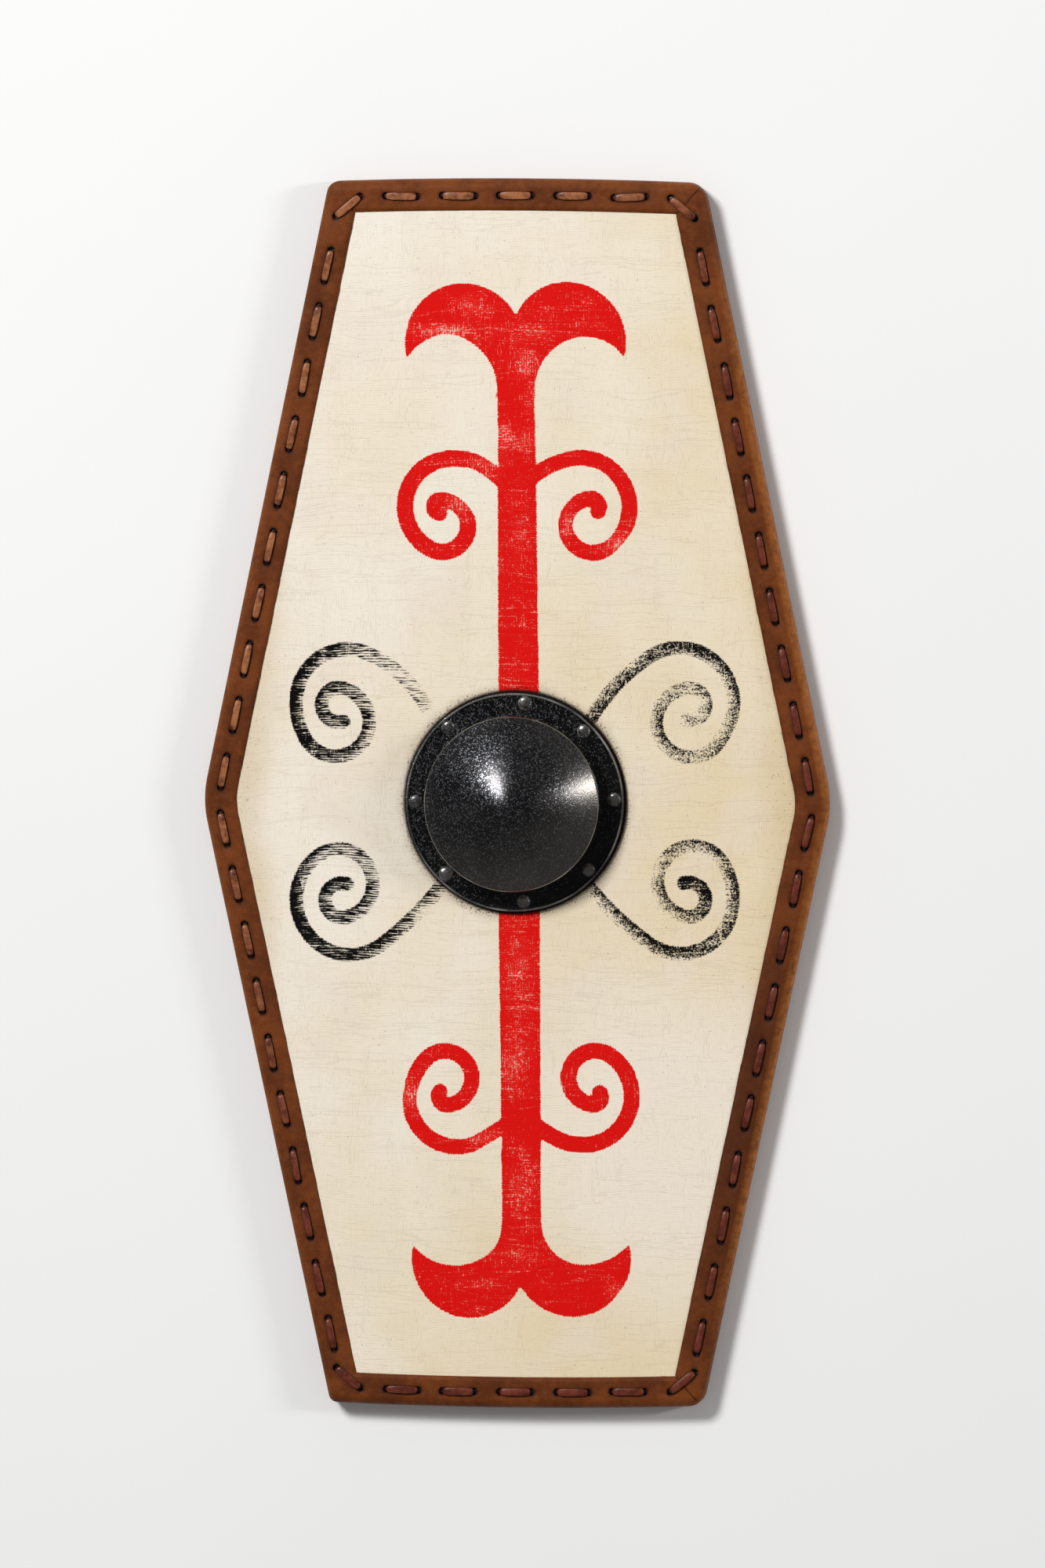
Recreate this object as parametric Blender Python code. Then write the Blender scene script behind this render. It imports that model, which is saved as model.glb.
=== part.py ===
"""Long six-sided hand shield, lying on its back with its painted face up.

A foam board carries a painted linen facing. A leather binding of four strips is folded round
its edge and laced with a flat thong. A hollow domed boss, set with eight rivets, covers the
hand hole, and a wrapped wooden grip crosses that hole, let in flush with the board's back.
+Y is the shield's top, +Z the way its face looks, and z = 0 the plane that it lies on.
"""

import math

import bmesh
import bpy
from mathutils import Matrix, Vector

# Outline over the leather, measured to the corners before they are rounded
SHIELD_LENGTH = 1.000
SIDE_CORNER_SPAN = 0.514
TOP_WIDTH = 0.306
BOTTOM_WIDTH = 0.305
WIDEST_Y = -0.006
END_BOW = 0.003
SIDE_CORNER_RADIUS = 0.090
TOP_RIGHT_RADIUS = 0.016
TOP_LEFT_RADIUS = 0.010
BOTTOM_LEFT_RADIUS = 0.007
BOTTOM_RIGHT_RADIUS = 0.014

# Layers, from the back to the face
LEATHER_THICKNESS = 0.0022
BOARD_THICKNESS = 0.018
FACING_THICKNESS = 0.0012
GAP = 0.0003

# Leather binding
SIDE_RIM_WIDTH = 0.0268
END_RIM_WIDTH = 0.0254
RIM_EDGE_RADIUS = 0.008
FACING_TUCK = 0.0075

# Lacing
THONG_WIDTH = 0.0060
THONG_THICKNESS = 0.0012
THONG_SHOULDER = 0.0007
STITCH_SPAN = 0.0246
SIDE_PITCH = 0.0468
END_PITCH = 0.0466
STITCHES_PER_SIDE_EDGE = 10
STITCHES_PER_END = 5
LACE_INSET = 0.0132
CORNER_STITCH_INSET = 0.0200
THONG_TAIL = 0.003

# Boss
BOSS_Y = WIDEST_Y
FLANGE_RADIUS = 0.0893
FLANGE_THICKNESS = 0.0048
FLANGE_LIP = 0.0010
FLANGE_LIP_WIDTH = 0.0021
BOSS_WALL = 0.0042
BOSS_NECK_RADIUS = 0.0672
DOME_RADIUS = 0.0714
DOME_EDGE_HEIGHT = 0.0290
DOME_EDGE_THICKNESS = 0.0026
DOME_RISE = 0.0340
DOME_TIP_SHARE = 0.22
RIVET_CIRCLE_RADIUS = 0.0812
RIVET_ANGLES_DEG = (2, 46, 84, 132, 180, 226, 275, 318)
RIVET_HEAD_RADIUS = 0.0056
RIVET_HEAD_HEIGHT = 0.0022
RIVET_SHANK_RADIUS = 0.0022

# Hand hole and grip
HAND_HOLE_RADIUS = 0.058
GRIP_LENGTH = 0.184
GRIP_END_WIDTH = 0.031
GRIP_END_THICKNESS = 0.0120
GRIP_WAIST_WIDTH = 0.026
GRIP_WAIST_HEIGHT = 0.0195
GRIP_SHOULDER_LENGTH = 0.014
GRIP_SHOULDER_CLEARANCE = 0.002
WRAP_LENGTH = 0.072
WRAP_THICKNESS = 0.0020
NAIL_X = 0.074
NAIL_HEAD_RADIUS = 0.0045
NAIL_HEAD_HEIGHT = 0.0014
NAIL_SHANK_RADIUS = 0.0017
NAIL_DEPTH = 0.009

# Smoothness of the round forms
CORNER_POINTS = 5
END_STEPS = 6
EDGE_STEPS = 3
LINING_STEPS = 2
BOSS_SIDES = 32
HOLE_SIDES = 32
RIVET_SIDES = 9
SHANK_SIDES = 6
GRIP_SIDES = 12

# Heights that follow from the layers
BOARD_BACK = LEATHER_THICKNESS + GAP
BOARD_FRONT = BOARD_BACK + BOARD_THICKNESS
FACING_BACK = BOARD_FRONT + GAP
FACING_FRONT = FACING_BACK + FACING_THICKNESS
RIM_FLANGE_BACK = FACING_FRONT + GAP
RIM_FRONT = RIM_FLANGE_BACK + LEATHER_THICKNESS
BOSS_BACK = FACING_FRONT + GAP
STITCH_HEIGHT = RIM_FRONT + GAP + THONG_THICKNESS / 2
RUN_HEIGHT = BOARD_FRONT + GAP + THONG_THICKNESS / 2

# The grip thickens only inside the hand hole, where its shoulders clear the hole's edge
GRIP_SHOULDER_END = math.sqrt(HAND_HOLE_RADIUS ** 2 - (GRIP_END_WIDTH / 2) ** 2) - GRIP_SHOULDER_CLEARANCE
GRIP_WAIST_END = GRIP_SHOULDER_END - GRIP_SHOULDER_LENGTH

# The six corners, anticlockwise from the right side corner: (position, radius)
SIDE_X = SIDE_CORNER_SPAN / 2
END_Y = SHIELD_LENGTH / 2 - END_BOW
RIGHT, TOP_RIGHT, TOP_LEFT, LEFT, BOTTOM_LEFT, BOTTOM_RIGHT = range(6)
CORNERS = (
    (Vector((SIDE_X, WIDEST_Y)), SIDE_CORNER_RADIUS),
    (Vector((TOP_WIDTH / 2, END_Y)), TOP_RIGHT_RADIUS),
    (Vector((-TOP_WIDTH / 2, END_Y)), TOP_LEFT_RADIUS),
    (Vector((-SIDE_X, WIDEST_Y)), SIDE_CORNER_RADIUS),
    (Vector((-BOTTOM_WIDTH / 2, -END_Y)), BOTTOM_LEFT_RADIUS),
    (Vector((BOTTOM_WIDTH / 2, -END_Y)), BOTTOM_RIGHT_RADIUS),
)
END_EDGES = (TOP_RIGHT, BOTTOM_LEFT)


def clear_scene():
    for obj in list(bpy.data.objects):
        bpy.data.objects.remove(obj)


def make_material(name, colour, roughness, metallic=0.0):
    """A plain finish in the part's own colour."""
    material = bpy.data.materials.new(name)
    material.use_nodes = True
    shader = material.node_tree.nodes["Principled BSDF"]
    shader.inputs["Base Color"].default_value = (*colour, 1.0)
    shader.inputs["Roughness"].default_value = roughness
    shader.inputs["Metallic"].default_value = metallic
    return material


def make_object(name, mesh, material=None, smooth_angle_deg=35):
    """Links a mesh as a named object, smooth except across its sharp edges."""
    mesh.shade_smooth()
    mesh.set_sharp_from_angle(angle=math.radians(smooth_angle_deg))
    obj = bpy.data.objects.new(name, mesh)
    bpy.context.scene.collection.objects.link(obj)
    if material is not None and not mesh.materials:
        mesh.materials.append(material)
    return obj


def mesh_from(bm, name):
    """Merges doubled points, turns every face outwards and writes the mesh."""
    bmesh.ops.remove_doubles(bm, verts=bm.verts, dist=1e-6)
    bmesh.ops.recalc_face_normals(bm, faces=bm.faces)
    mesh = bpy.data.meshes.new(name)
    bm.to_mesh(mesh)
    bm.free()
    return mesh


def skin(bm, sections, closed=False):
    """Faces between closed sections in a row, capped at both ends unless the row is closed."""
    rings = [[bm.verts.new(point) for point in section] for section in sections]
    pairs = list(zip(rings, rings[1:]))
    if closed:
        pairs.append((rings[-1], rings[0]))
    for first, second in pairs:
        for i in range(len(first)):
            j = (i + 1) % len(first)
            bm.faces.new((first[i], first[j], second[j], second[i]))
    if not closed:
        bm.faces.new(list(reversed(rings[0])))
        bm.faces.new(rings[-1])


def turned(name, profile, sides):
    """A profile of (radius, height) points turned once about +Z."""
    bm = bmesh.new()
    points = [bm.verts.new((radius, 0.0, height)) for radius, height in profile]
    edges = [bm.edges.new(pair) for pair in zip(points, points[1:])]
    closed = profile[0][0] > 0.0 and profile[-1][0] > 0.0
    if closed:
        edges.append(bm.edges.new((points[-1], points[0])))
    bmesh.ops.spin(
        bm, geom=points + edges, cent=(0, 0, 0), axis=(0, 0, 1),
        angle=2 * math.pi, steps=sides, use_merge=True,
    )
    return mesh_from(bm, name)


def add_cylinder(bm, radius, low, high, sides, place=Matrix.Identity(4)):
    """A closed cylinder between two heights, moved by a matrix."""
    middle = Matrix.Translation((0, 0, (low + high) / 2))
    bmesh.ops.create_cone(
        bm, cap_ends=True, segments=sides, radius1=radius, radius2=radius,
        depth=high - low, matrix=place @ middle,
    )


def add_clearance_hole(bm, shank_radius, low, high, place):
    """A cutter whose flats all stand a gap off the shank."""
    radius = (shank_radius + GAP) / math.cos(math.pi / SHANK_SIDES)
    add_cylinder(bm, radius, low, high, SHANK_SIDES, place)


def add_box(bm, size, place):
    """A closed box of this size, centred where the matrix puts it."""
    bmesh.ops.create_cube(bm, size=1.0, matrix=place @ Matrix.Diagonal((*size, 1.0)))


def cut(obj, cutter):
    modifier = obj.modifiers.new("cut " + cutter.name, "BOOLEAN")
    modifier.operation = "DIFFERENCE"
    modifier.solver = "EXACT"
    modifier.object = cutter


def make_cutter(name, bm):
    cutter = make_object(name, mesh_from(bm, name))
    cutter.hide_render = True
    cutter.display_type = "WIRE"
    return cutter


# Outline of the shield at any distance in from its edge


def edge_direction(edge):
    """Along the edge that starts at this corner, anticlockwise."""
    start, end = CORNERS[edge][0], CORNERS[(edge + 1) % 6][0]
    return (end - start).normalized()


def inward(edge):
    along = edge_direction(edge)
    return Vector((-along.y, along.x))


def edge_inset(edge, side_inset, end_inset):
    return end_inset if edge in END_EDGES else side_inset


def inset_corner(corner, side_inset, end_inset):
    """Where the two edges at a corner cross after each has moved inwards."""
    n1, n2 = inward((corner - 1) % 6), inward(corner)
    a = edge_inset((corner - 1) % 6, side_inset, end_inset)
    b = edge_inset(corner, side_inset, end_inset)
    det = n1.x * n2.y - n1.y * n2.x
    step = Vector(((a * n2.y - b * n1.y) / det, (b * n1.x - a * n2.x) / det))
    return CORNERS[corner][0] + step


def corner_arc(corner, side_inset, end_inset):
    """Points round a corner. They fall together where the inset passes the corner's radius."""
    radius = max(CORNERS[corner][1] - max(side_inset, end_inset), 0.0)
    centre = inset_corner(corner, side_inset + radius, end_inset + radius)
    out1, out2 = -inward((corner - 1) % 6), -inward(corner)
    start = math.atan2(out1.y, out1.x)
    turn = out1.angle_signed(out2) * -1.0
    steps = CORNER_POINTS - 1
    angles = [start + turn * i / steps for i in range(CORNER_POINTS)]
    return [centre + radius * Vector((math.cos(a), math.sin(a))) for a in angles]


def bowed(point):
    """The two ends bulge by END_BOW at the middle, fading to nothing at their corners."""
    width = TOP_WIDTH if point.y > 0 else BOTTOM_WIDTH
    if abs(point.y) < 0.8 * END_Y:
        return point.copy()
    bulge = END_BOW * max(0.0, 1.0 - (2.0 * point.x / width) ** 2)
    return point + Vector((0.0, math.copysign(bulge, point.y)))


def walk(first, last, side_inset, end_inset):
    """Outline points from the middle of one corner to the middle of another."""
    middle = CORNER_POINTS // 2
    points = corner_arc(first, side_inset, end_inset)[middle:]
    corner = first
    while True:
        edge, corner = corner, (corner + 1) % 6
        arc = corner_arc(corner, side_inset, end_inset)
        if edge in END_EDGES:
            start = points[-1]
            points += [start.lerp(arc[0], i / END_STEPS) for i in range(1, END_STEPS)]
        if corner == last:
            points += arc[: middle + 1]
            return [bowed(point) for point in points]
        points += arc


def outline(side_inset, end_inset):
    """The whole closed outline at this inset."""
    strips = [walk(first, last, side_inset, end_inset) for first, last in STRIPS.values()]
    return [point for strip in strips for point in strip[:-1]]


STRIPS = {
    "right": (BOTTOM_RIGHT, TOP_RIGHT),
    "top": (TOP_RIGHT, TOP_LEFT),
    "left": (TOP_LEFT, BOTTOM_LEFT),
    "bottom": (BOTTOM_LEFT, BOTTOM_RIGHT),
}


# Board and facing


def quarter(centre_inset, centre_height, radius, start_deg, steps):
    """(inset, height) points on a quarter circle in the binding's cross-section."""
    found = []
    for i in range(steps + 1):
        a = math.radians(start_deg + 90.0 * i / steps)
        found.append((centre_inset - radius * math.cos(a), centre_height + radius * math.sin(a)))
    return found


def plate(name, layers):
    """A flat body built up from outlines: layers are (side inset, end inset, height)."""
    bm = bmesh.new()
    sections = [
        [(point.x, point.y, height) for point in outline(side, end)]
        for side, end, height in layers
    ]
    skin(bm, sections)
    return mesh_from(bm, name)


def make_board(hand_hole, grip_seat):
    edge = LEATHER_THICKNESS + GAP
    radius = RIM_EDGE_RADIUS - edge
    back = quarter(edge + radius, BOARD_BACK + radius, radius, -90, LINING_STEPS)
    front = quarter(edge + radius, BOARD_FRONT - radius, radius, 0, LINING_STEPS)
    layers = [(inset, inset, height) for inset, height in back + front]
    foam = make_material("black foam", (0.035, 0.03, 0.028), 0.75)
    board = make_object("board", plate("board", layers), foam)
    cut(board, hand_hole)
    cut(board, grip_seat)
    return board


def make_facing(hand_hole):
    side, end = SIDE_RIM_WIDTH - FACING_TUCK, END_RIM_WIDTH - FACING_TUCK
    layers = [(side, end, FACING_BACK), (side, end, FACING_FRONT)]
    linen = make_material("painted linen", (0.80, 0.73, 0.60), 0.6)
    facing = make_object("linen_facing", plate("linen_facing", layers), linen)
    cut(facing, hand_hole)
    return facing


# Leather binding


def rim_profile():
    """The folded strip's cross-section as (side inset, end inset, height), a closed loop."""
    outer, inner = RIM_EDGE_RADIUS, RIM_EDGE_RADIUS - LEATHER_THICKNESS
    front_centre = RIM_FRONT - RIM_EDGE_RADIUS
    back_centre = RIM_EDGE_RADIUS
    outside = quarter(outer, back_centre, outer, -90, EDGE_STEPS)
    outside += quarter(outer, front_centre, outer, 0, EDGE_STEPS)
    inside = quarter(outer, front_centre, inner, 0, LINING_STEPS)[::-1]
    inside += quarter(outer, back_centre, inner, -90, LINING_STEPS)[::-1]
    width = (SIDE_RIM_WIDTH, END_RIM_WIDTH)
    loop = [(*width, 0.0)]
    loop += [(inset, inset, height) for inset, height in outside]
    loop += [(*width, RIM_FRONT), (*width, RIM_FLANGE_BACK)]
    loop += [(inset, inset, height) for inset, height in inside]
    loop += [(*width, LEATHER_THICKNESS)]
    return loop


def trim_to_seam(points, corner, edge, into_strip):
    """Ends a row of points at the corner's mitre, half a gap short of it."""
    outer, inner = CORNERS[corner][0], inset_corner(corner, SIDE_RIM_WIDTH, END_RIM_WIDTH)
    mitre = (inner - outer).normalized()
    along = edge_direction(edge) * into_strip
    normal = Vector((-mitre.y, mitre.x))
    if normal.dot(along) < 0:
        normal.negate()
    trimmed = []
    for i, point in enumerate(points):
        short = GAP / 2 - (point - outer).dot(normal)
        if i == 0 or short > 0:
            point = point + along * (short / along.dot(normal))
        trimmed.append(point)
    return trimmed


def strip_row(first, last, side_inset, end_inset):
    """One line of points along a strip, from seam to seam."""
    points = walk(first, last, side_inset, end_inset)
    half = len(points) // 2
    start = trim_to_seam(points[:half], first, first, 1.0)
    end = trim_to_seam(points[half:][::-1], last, (last - 1) % 6, -1.0)[::-1]
    return start + end


def make_rim(side, lace_holes, leather):
    first, last = STRIPS[side]
    rows = []
    for side_inset, end_inset, height in rim_profile():
        row = strip_row(first, last, side_inset, end_inset)
        rows.append([(point.x, point.y, height) for point in row])
    bm = bmesh.new()
    skin(bm, list(zip(*rows)))
    rim = make_object("rim_" + side, mesh_from(bm, "rim_" + side), leather)
    cut(rim, lace_holes)
    return rim


# Lacing: a stitch is (centre, direction), with a hole at each of its ends


def edge_stitches(edge, count, pitch, start):
    """Stitches along an edge, the first one this far from the edge's inset corner."""
    along = edge_direction(edge)
    corner = inset_corner(edge, LACE_INSET, LACE_INSET)
    return [(corner + along * (start + pitch * i), along) for i in range(count)]


def side_stitches(side_corner):
    """The stitches of a side strip, down to its side corner and on from there."""
    before, after = (side_corner - 1) % 6, side_corner
    onward = edge_stitches(after, STITCHES_PER_SIDE_EDGE, SIDE_PITCH, SIDE_PITCH / 2)
    corner = inset_corner(side_corner, LACE_INSET, LACE_INSET)
    back = edge_direction(before)
    steps = [SIDE_PITCH * (i + 0.5) for i in range(STITCHES_PER_SIDE_EDGE)]
    return [(corner - back * step, back) for step in reversed(steps)] + onward


def end_stitches(edge):
    """The stitches of an end strip, with the slanting stitch over each of its seams."""
    along = edge_direction(edge)
    middle = -(STITCHES_PER_END - 1) / 2
    height = math.copysign(END_Y - LACE_INSET, along.x * -1.0)
    row = [
        (bowed(Vector((0.0, height)) + along * END_PITCH * (middle + i)), along)
        for i in range(STITCHES_PER_END)
    ]
    return [seam_stitch(edge)] + row + [seam_stitch((edge + 1) % 6)]


def seam_stitch(corner):
    """The stitch that crosses the mitre at a corner, square to it."""
    centre = inset_corner(corner, CORNER_STITCH_INSET, CORNER_STITCH_INSET)
    mitre = (centre - CORNERS[corner][0]).normalized()
    across = Vector((-mitre.y, mitre.x))
    if across.dot(edge_direction(corner)) < 0:
        across.negate()
    return centre, across


LACES = {
    "right": lambda: side_stitches(RIGHT),
    "top": lambda: end_stitches(TOP_RIGHT),
    "left": lambda: side_stitches(LEFT),
    "bottom": lambda: end_stitches(BOTTOM_LEFT),
}


def thong_path(stitches):
    """(place, height, crosswise) along the thong: over each stitch and under the leather between."""
    path = []
    for i, (centre, along) in enumerate(stitches):
        start, end = centre - along * STITCH_SPAN / 2, centre + along * STITCH_SPAN / 2
        crosswise = Vector((-along.y, along.x))
        shoulder = along * THONG_SHOULDER
        if i == 0:
            path.append((start - along * THONG_TAIL, RUN_HEIGHT, crosswise))
        elif stitches[i - 1][1].dot(along) < 0.999 and 1 < i < len(stitches) - 1:
            both = (crosswise + path[-1][2]).normalized()
            path.append((bend_point(stitches[i - 1], stitches[i]), RUN_HEIGHT, both))
        path += [
            (start, RUN_HEIGHT, crosswise),
            (start, STITCH_HEIGHT - THONG_SHOULDER, crosswise),
            (start + shoulder, STITCH_HEIGHT, crosswise),
            (end - shoulder, STITCH_HEIGHT, crosswise),
            (end, STITCH_HEIGHT - THONG_SHOULDER, crosswise),
            (end, RUN_HEIGHT, crosswise),
        ]
    end, height, crosswise = path[-1]
    along = stitches[-1][1]
    path.append((end + along * THONG_TAIL, height, crosswise))
    return path


def bend_point(stitch, following):
    """Where the lines of two neighbouring stitches cross."""
    (p, d), (q, e) = stitch, following
    reach = ((q - p).x * e.y - (q - p).y * e.x) / (d.x * e.y - d.y * e.x)
    return p + d * reach


def thong_sections(path):
    """Four-cornered sections of a flat thong, mitred at each bend."""
    centres = [Vector((place.x, place.y, height)) for place, height, _ in path]
    sections = []
    for i, (_, _, crosswise) in enumerate(path):
        across = Vector((crosswise.x, crosswise.y, 0.0))
        here = centres[i]
        ways = [
            (b - a).normalized()
            for a, b in zip(centres[max(i - 1, 0):i + 1], centres[max(i - 1, 0) + 1:i + 2])
        ]
        normals = [way.cross(across).normalized() for way in ways]
        total = normals[0] + normals[-1]
        lift = total / (1.0 + normals[0].dot(normals[-1])) * THONG_THICKNESS / 2
        wide = across * THONG_WIDTH / 2
        sections.append([here - wide - lift, here + wide - lift, here + wide + lift, here - wide + lift])
    return sections


def make_lace(side, material):
    bm = bmesh.new()
    skin(bm, thong_sections(thong_path(LACES[side]())))
    return make_object("lace_" + side, mesh_from(bm, "lace_" + side), material)


def make_lace_holes():
    """One cutter for every punched hole of the binding."""
    bm = bmesh.new()
    size = (THONG_THICKNESS + 2 * GAP, THONG_WIDTH + 2 * GAP, 3 * LEATHER_THICKNESS)
    height = (RIM_FLANGE_BACK + RIM_FRONT) / 2
    for stitches in LACES.values():
        for centre, along in stitches():
            turn = Matrix.Rotation(math.atan2(along.y, along.x), 4, "Z")
            for end in (-1, 1):
                place = centre + along * STITCH_SPAN / 2 * end
                add_box(bm, size, Matrix.Translation((place.x, place.y, height)) @ turn)
    return make_cutter("lace_holes", bm)


# Boss and rivets


def dome_height(radius):
    """Outer height of the boss at a radius: a low cone with a slight swell and a blunt tip."""
    share = radius / DOME_RADIUS
    tip = DOME_TIP_SHARE
    cone = math.sqrt(share * share + tip * tip) - tip
    full = math.sqrt(1.0 + tip * tip) - tip
    return DOME_EDGE_HEIGHT + DOME_RISE * (1.0 - (cone / full) ** 1.12)


def boss_profile():
    """(radius, height over the flange's underside), from the inner mouth over the tip and out."""
    neck_inner = BOSS_NECK_RADIUS - BOSS_WALL
    dome_inner = DOME_RADIUS - BOSS_WALL
    inner_top = DOME_EDGE_HEIGHT - DOME_EDGE_THICKNESS - BOSS_WALL / 2
    lip = FLANGE_RADIUS - FLANGE_LIP_WIDTH
    inside = [(neck_inner, 0.0), (neck_inner + 0.0015, inner_top * 0.6), (dome_inner - 0.002, inner_top)]
    inside += [(r, dome_height(r) - BOSS_WALL) for r in (0.84 * DOME_RADIUS, 0.6 * DOME_RADIUS)]
    inside += [(0.3 * DOME_RADIUS, dome_height(0.3 * DOME_RADIUS) - BOSS_WALL)]
    inside += [(0.0, dome_height(0.0) - BOSS_WALL)]
    outside = [(share * DOME_RADIUS, dome_height(share * DOME_RADIUS)) for share in
               (0.0, 0.12, 0.27, 0.45, 0.65, 0.83, 0.97)]
    outside += [
        (DOME_RADIUS, DOME_EDGE_HEIGHT - 0.0008),
        (DOME_RADIUS - 0.0004, DOME_EDGE_HEIGHT - DOME_EDGE_THICKNESS),
        (BOSS_NECK_RADIUS + 0.0012, DOME_EDGE_HEIGHT - DOME_EDGE_THICKNESS - 0.0025),
        (BOSS_NECK_RADIUS, 0.45 * DOME_EDGE_HEIGHT),
        (BOSS_NECK_RADIUS + 0.0004, FLANGE_THICKNESS + 0.0016),
        (BOSS_NECK_RADIUS + 0.0022, FLANGE_THICKNESS),
        (lip, FLANGE_THICKNESS),
        (lip + 0.35 * FLANGE_LIP_WIDTH, FLANGE_THICKNESS + FLANGE_LIP),
        (lip + 0.75 * FLANGE_LIP_WIDTH, FLANGE_THICKNESS + FLANGE_LIP),
        (FLANGE_RADIUS, FLANGE_THICKNESS - FLANGE_LIP),
        (FLANGE_RADIUS - 0.0006, 0.0),
    ]
    return inside, outside


def rivet_places():
    angles = [math.radians(angle) for angle in RIVET_ANGLES_DEG]
    return [
        Vector((RIVET_CIRCLE_RADIUS * math.cos(a), BOSS_Y + RIVET_CIRCLE_RADIUS * math.sin(a), BOSS_BACK))
        for a in angles
    ]


def make_boss():
    inside, outside = boss_profile()
    bm = bmesh.new()
    for place in rivet_places():
        upright = Matrix.Translation(place - Vector((0.0, BOSS_Y, BOSS_BACK)))
        add_clearance_hole(bm, RIVET_SHANK_RADIUS, -2 * GAP, 2 * FLANGE_THICKNESS, upright)
    holes = make_cutter("rivet_holes", bm)
    holes.location = (0.0, BOSS_Y, BOSS_BACK)
    mesh = joined_turned("boss", inside, outside)
    painted = make_material("graphite painted casting", (0.05, 0.05, 0.055), 0.4, 0.6)
    boss = make_object("boss", mesh, painted, smooth_angle_deg=30)
    boss.location = (0.0, BOSS_Y, BOSS_BACK)
    cut(boss, holes)
    return boss


def joined_turned(name, inside, outside):
    """A turned shell whose inner and outer skins each reach the axis and meet at the foot."""
    bm = bmesh.new()
    profile = inside[::-1] + outside[::-1]
    points = [bm.verts.new((radius, 0.0, height)) for radius, height in profile]
    edges = [bm.edges.new(pair) for pair in zip(points, points[1:])]
    bmesh.ops.spin(
        bm, geom=points + edges, cent=(0, 0, 0), axis=(0, 0, 1),
        angle=2 * math.pi, steps=BOSS_SIDES, use_merge=True,
    )
    return mesh_from(bm, name)


def rivet_profile(shank_radius, shank_length, head_radius, head_height):
    """(radius, height) from the shank's end to the middle of a low domed head."""
    return [
        (0.0, 0.0),
        (shank_radius, 0.0),
        (shank_radius, shank_length),
        (head_radius, shank_length),
        (head_radius * 0.78, shank_length + head_height * 0.75),
        (0.0, shank_length + head_height),
    ]


def make_rivets():
    profile = rivet_profile(RIVET_SHANK_RADIUS, FLANGE_THICKNESS + GAP - GAP / 2,
                            RIVET_HEAD_RADIUS, RIVET_HEAD_HEIGHT)
    mesh = turned("boss_rivet", profile, RIVET_SIDES)
    painted = make_material("graphite painted rivet", (0.06, 0.06, 0.065), 0.4, 0.6)
    for i, place in enumerate(rivet_places()):
        rivet = make_object(f"boss_rivet_{i + 1}", mesh, painted)
        rivet.location = place + Vector((0.0, 0.0, GAP / 2))


# Grip


def rounded_section(x, width, low, high, roundness):
    """A many-sided section across the grip, between a square and an oval."""
    section = []
    for i in range(GRIP_SIDES):
        a = 2 * math.pi * (i + 0.5) / GRIP_SIDES
        c, s = math.cos(a), math.sin(a)
        y = math.copysign(abs(c) ** roundness, c) * width / 2
        z = math.copysign(abs(s) ** roundness, s) * (high - low) / 2
        section.append((x, y, (low + high) / 2 + z))
    return section


def grip_sizes(x):
    """Width, lowest and highest point of the bare grip at x, measured from the board's back."""
    share = min(max((abs(x) - GRIP_WAIST_END) / GRIP_SHOULDER_LENGTH, 0.0), 1.0)
    ease = share * share * (3 - 2 * share)
    waist_low = WRAP_THICKNESS + 2 * GAP
    width = GRIP_WAIST_WIDTH + (GRIP_END_WIDTH - GRIP_WAIST_WIDTH) * ease
    low = waist_low * (1.0 - ease)
    waist_high = waist_low + GRIP_WAIST_HEIGHT
    high = waist_high + (GRIP_END_THICKNESS - waist_high) * ease
    return width, low, high, 0.82 - 0.5 * ease


def make_grip(nail_holes):
    half = GRIP_LENGTH / 2
    turns = [GRIP_WAIST_END + GRIP_SHOULDER_LENGTH * share for share in (0.0, 0.35, 0.65, 1.0)]
    stations = [-half] + [-x for x in reversed(turns)] + turns + [half]
    bm = bmesh.new()
    skin(bm, [rounded_section(x, *grip_sizes(x)) for x in stations])
    wood = make_material("ash wood", (0.42, 0.27, 0.14), 0.55)
    grip = make_object("grip", mesh_from(bm, "grip"), wood)
    grip.location = (0.0, BOSS_Y, BOARD_BACK)
    cut(grip, nail_holes)


def make_wrap():
    """The leather sleeve round the grip's waist."""
    width, low, high, roundness = grip_sizes(0.0)
    half = WRAP_LENGTH / 2
    inner = WRAP_THICKNESS + GAP
    sections = []
    for x, grow in ((-half, inner), (half, inner), (half, GAP), (-half, GAP)):
        sections.append(
            rounded_section(x, width + 2 * grow, low - grow, high + grow, roundness)
        )
    bm = bmesh.new()
    skin(bm, sections, closed=True)
    leather = make_material("grip leather", (0.14, 0.06, 0.03), 0.6)
    wrap = make_object("grip_wrap", mesh_from(bm, "grip_wrap"), leather)
    wrap.location = (0.0, BOSS_Y, BOARD_BACK)


def make_nails():
    """The two nails that hold the grip, their heads on its back."""
    steel = make_material("nail steel", (0.30, 0.29, 0.28), 0.45, 1.0)
    profile = rivet_profile(NAIL_SHANK_RADIUS, NAIL_DEPTH, NAIL_HEAD_RADIUS, NAIL_HEAD_HEIGHT)
    mesh = turned("grip_nail", profile, RIVET_SIDES)
    for name, x in (("grip_nail_left", -NAIL_X), ("grip_nail_right", NAIL_X)):
        nail = make_object(name, mesh, steel)
        nail.rotation_euler = (math.pi, 0.0, 0.0)
        nail.location = (x, BOSS_Y, BOARD_BACK - GAP + NAIL_DEPTH)


def make_nail_holes():
    bm = bmesh.new()
    for x in (-NAIL_X, NAIL_X):
        upright = Matrix.Translation((x, BOSS_Y, 0.0))
        add_clearance_hole(bm, NAIL_SHANK_RADIUS, -BOARD_BACK, BOARD_BACK + NAIL_DEPTH, upright)
    return make_cutter("nail_holes", bm)


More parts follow.
